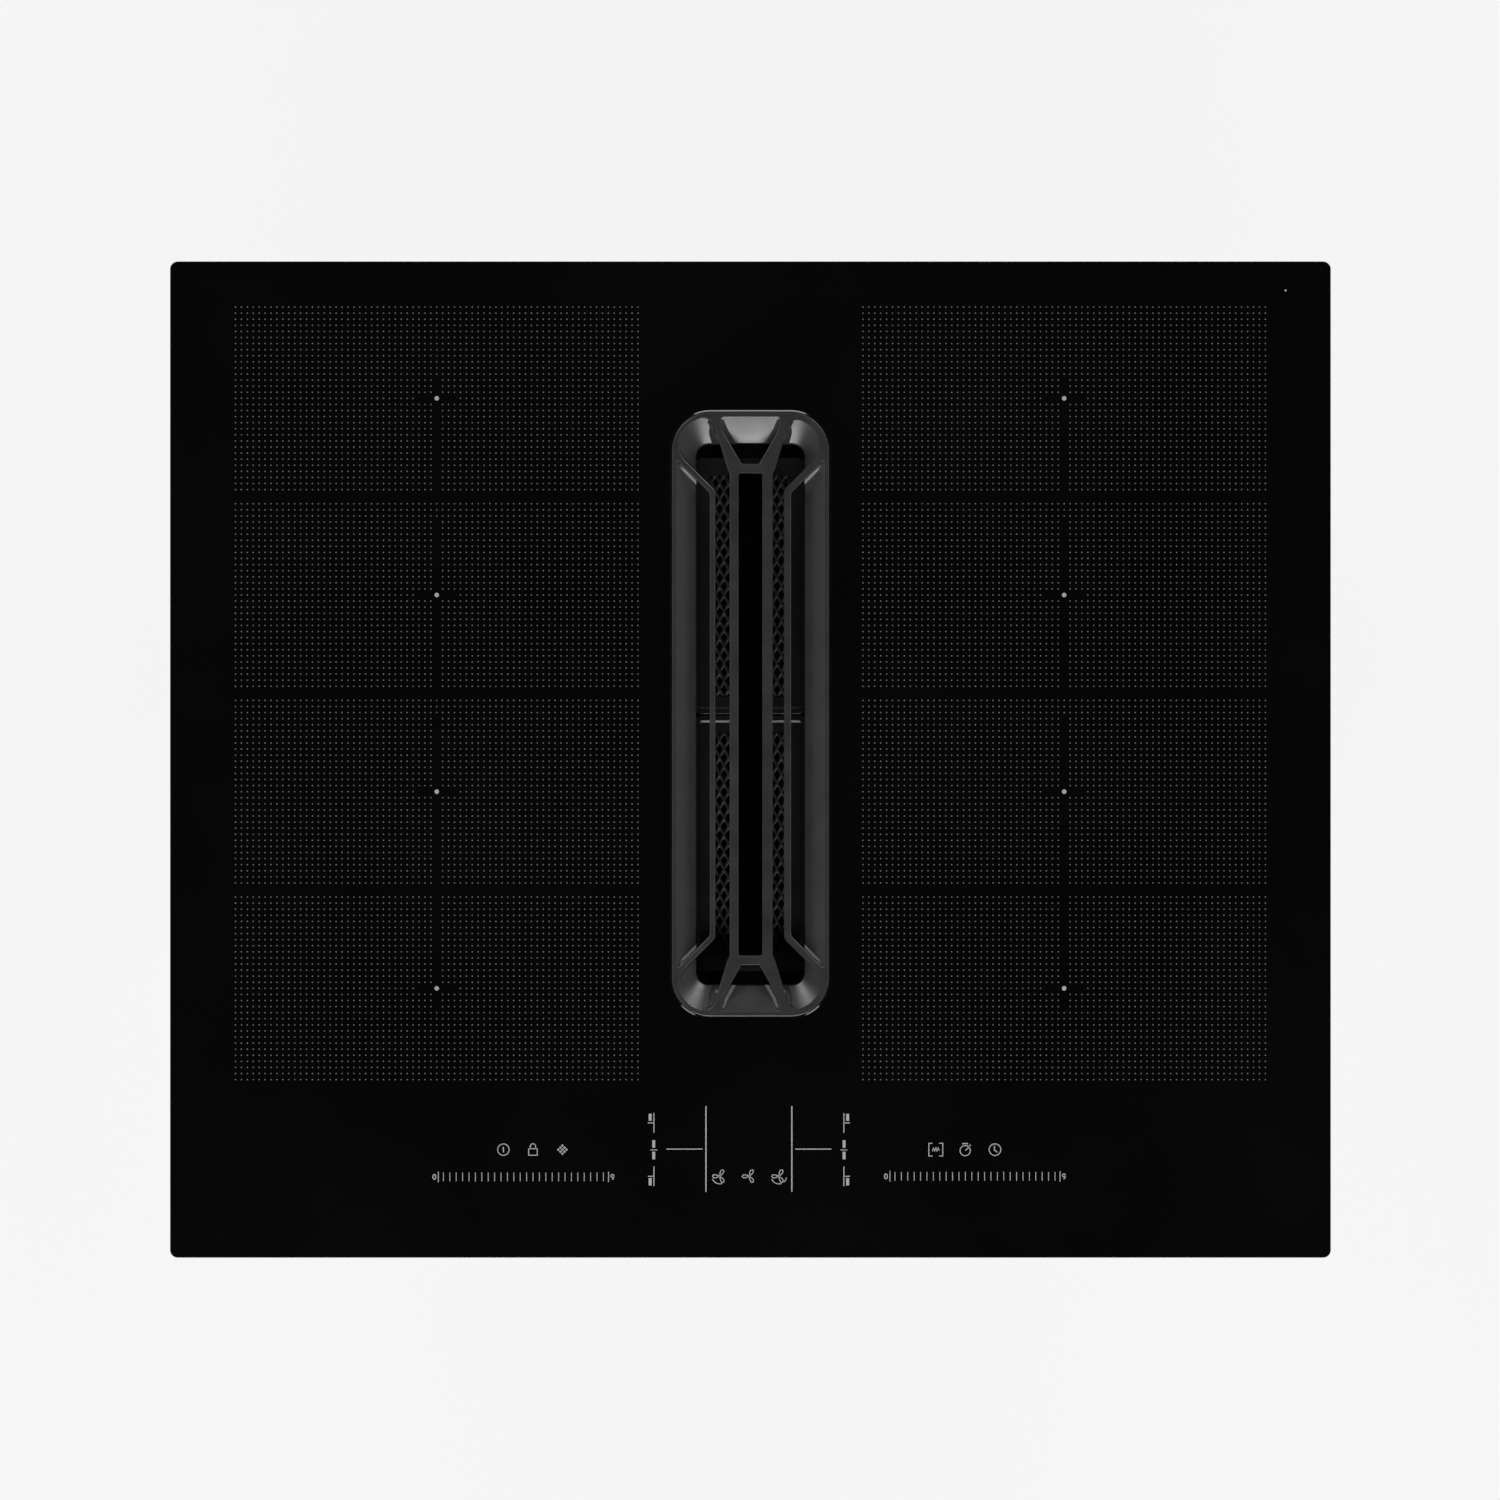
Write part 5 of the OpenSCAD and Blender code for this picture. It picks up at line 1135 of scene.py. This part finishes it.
# %% Sealing bands on the duct and a lid line on the terminal box
BAND_OUT, BAND_W, BAND_BACK, BAND_SUNK = 1.3, 3.0, (9, 19), 0.4
BAND_R, BAND_BORE_R = 7.2, 5.6
duct_low, duct_high = corners_mm("outlet_spigot")
duct_x, duct_z = (duct_low.x + duct_high.x) / 2, (duct_low.z + duct_high.z) / 2
duct_w, duct_h = duct_high.x - duct_low.x, duct_high.z - duct_low.z
band = moved(rounded_rectangle(duct_w + 2 * BAND_OUT, duct_h + BAND_OUT, BAND_R), duct_x,
             duct_z + BAND_OUT / 2)
bore = moved(rounded_rectangle(duct_w - 2 * BAND_SUNK, duct_h - 2 * BAND_SUNK, BAND_BORE_R),
             duct_x, duct_z)
show_piece("duct_bands", [standing([band, bore], duct_high.y - back, duct_high.y - back + BAND_W)
                          for back in BAND_BACK], HOME, SLOT_OF["outlet_spigot"],
           finishes=["black_plastic"])

BOX_W, BOX_D, BOX_R = 100.0, 80.0, 6.0
LID_OUT, LID_IN, LID_Z, LID_EDGE = 0.7, 0.5, (0.2, 9.0), 0.4
NUT_R, NUT_BORE_R, NUT_Y = 13.4, 10.6, (-0.3, 5.0)
box_low, box_high = corners_mm("terminal_box")
box_x, box_y, gland_z = ((box_low.x + box_high.x) / 2, box_low.y + BOX_D / 2,
                         (box_low.z + box_high.z) / 2)
lid = plate("lid", [moved(rounded_rectangle(BOX_W + 2 * grow, BOX_D + 2 * grow, BOX_R + grow),
                          box_x, box_y) for grow in (LID_OUT, -LID_IN)],
            box_low.z + LID_Z[0], box_low.z + LID_Z[1], LID_EDGE)
nut = standing([moved(circle(NUT_R, 6), box_x, gland_z),
                moved(circle(NUT_BORE_R, 32), box_x, gland_z)],
               box_low.y + BOX_D + NUT_Y[0], box_low.y + BOX_D + NUT_Y[1])
show_piece("terminal_lid", [lid, nut], HOME, SLOT_OF["terminal_box"], finishes=["black_plastic"])

# %% Pressed beads on the tray
BEAD_LEN, BEAD_H, BEAD_OUT, BEAD_UP = 120.0, 9.0, 0.9, 20.0
SIDE_BEADS, REAR_BEADS = (-150, 0, 150), (-200, 0, 200)
tray_low, tray_high = corners_mm("base_tray")
bead_outline = rounded_rectangle(BEAD_LEN, BEAD_H, BEAD_H / 2 - 0.1)


def bead(along, wall, turn=0.0):
    mesh = standing([moved(bead_outline, along, tray_low.z + BEAD_UP)], wall - SUNK,
                    wall + BEAD_OUT)
    mesh.transform(Matrix.Rotation(turn, 4, "Z"))
    return mesh


beads = [bead(y, tray_high.x, -side * math.pi / 2) for side in (-1, 1) for y in SIDE_BEADS]
beads += [bead(x, tray_high.y) for x in REAR_BEADS]
show_piece("tray_beads", beads, HOME, "zinc_sheet")

# %% [markdown]
# ## The camera and the light
# The photograph looks straight down through a long lens, so the camera stands over three metres
# above the glass. The glass mirrors whatever is right above it, and in the photograph that is
# darkness. All lamps therefore stand round the object and none over it, the strongest one in
# front, and only the horizon of the world is pale. Past the floor the camera sees a backdrop as
# pale as the floor.

# %% Camera
FRAME_WIDTH, CAMERA_DISTANCE, SENSOR_MM, CLIP_END = 775.3, 3.2, 36.0, 50.0
LOOK_AT = (-0.23 * MM, 4.96 * MM)
camera = linked("camera", bpy.data.cameras.new("camera"))
camera.location = (*LOOK_AT, GLASS_TOP * MM + CAMERA_DISTANCE)
camera.data.sensor_width = SENSOR_MM
camera.data.lens = SENSOR_MM * CAMERA_DISTANCE / (FRAME_WIDTH * MM)
camera.data.clip_end = CLIP_END
bpy.context.scene.camera = camera
print("lens:", round(camera.data.lens, 1), "mm")

# %% Lamps
AIM, LAMP_DISTANCE = Vector((0, 0, 0.2)), 2.4


def soft_lamp(name, azimuth, elevation, width, height, watts):
    """Azimuth 0 stands in front of the object and 90 on its right."""
    turn, lift = math.radians(azimuth), math.radians(elevation)
    toward = Vector((math.sin(turn) * math.cos(lift), -math.cos(turn) * math.cos(lift),
                     math.sin(lift)))
    lamp = linked(name, bpy.data.lights.new(name, "AREA"))
    lamp.data.shape = "RECTANGLE"
    lamp.data.size, lamp.data.size_y, lamp.data.energy = width, height, watts
    lamp.location = AIM + LAMP_DISTANCE * toward
    lamp.rotation_mode = "QUATERNION"
    lamp.rotation_quaternion = toward.to_track_quat("Z", "Y")
    print(name, "at", [round(v, 2) for v in lamp.location])


soft_lamp("front softbox", 0, 34, 1.7, 0.9, 33)
soft_lamp("rear left softbox", -143, 33, 0.8, 0.8, 11)
soft_lamp("rear right softbox", 143, 33, 0.8, 0.8, 11)
soft_lamp("left softbox", -90, 52, 1.2, 0.7, 2.0)
soft_lamp("right softbox", 90, 52, 1.2, 0.7, 2.0)

# %% World
BACKDROP = 0.92
world = bpy.data.worlds.new("studio")
bpy.context.scene.world = world
world.use_nodes = True
sky = world.node_tree
up = place(sky, "ShaderNodeSeparateXYZ", {
    "Vector": place(sky, "ShaderNodeTexCoord").outputs["Generated"]}).outputs["Z"]
falloff = place(sky, "ShaderNodeMapRange", {
    "Value": up, "From Min": 0.05, "From Max": 0.6, "To Min": 0.55, "To Max": 0.0},
    interpolation_type="SMOOTHSTEP").outputs["Result"]
backdrop = times(sky, place(sky, "ShaderNodeLightPath").outputs["Is Camera Ray"], BACKDROP)
sky.links.new(arithmetic(sky, "MAXIMUM", falloff, backdrop),
              sky.nodes["Background"].inputs["Color"])
print("world: pale horizon, dark zenith, and a backdrop as pale as the floor")

# %% Floor
FLOOR_R, FLOOR_DROP, FLOOR_GREY, FLOOR_GLOW, GLOW_SHARE = 30.0, 0.0005, 0.9, 0.965, 0.9
floor_mesh = bpy.data.meshes.new("floor")
floor_mesh.from_pydata([(x, y, 0) for x, y in oblong(-FLOOR_R, FLOOR_R, -FLOOR_R, FLOOR_R)], [],
                       [(0, 1, 2, 3)])
floor_mat = bpy.data.materials.new("pale floor")
floor_mat.use_nodes = True
tree = floor_mat.node_tree
tree.nodes.remove(tree.nodes["Principled BSDF"])
matte = place(tree, "ShaderNodeBsdfDiffuse", {"Color": (*grey(FLOOR_GREY), 1)})
glow = place(tree, "ShaderNodeEmission", {"Color": (*grey(FLOOR_GLOW), 1)})
rays = place(tree, "ShaderNodeLightPath").outputs
seen = arithmetic(tree, "MAXIMUM", rays["Is Camera Ray"], rays["Is Glossy Ray"])
seen = arithmetic(tree, "MAXIMUM", seen, rays["Is Transmission Ray"])
blend = place(tree, "ShaderNodeMixShader", {
    0: times(tree, seen, GLOW_SHARE), 1: matte.outputs[0], 2: glow.outputs[0]})
tree.links.new(blend.outputs[0], tree.nodes["Material Output"].inputs["Surface"])
floor_mesh.materials.append(floor_mat)
floor = linked("floor", floor_mesh)
floor.location.z = -FLOOR_DROP
bpy.context.scene.view_settings.view_transform = "Standard"
print("floor:", 2 * FLOOR_R, "m wide")
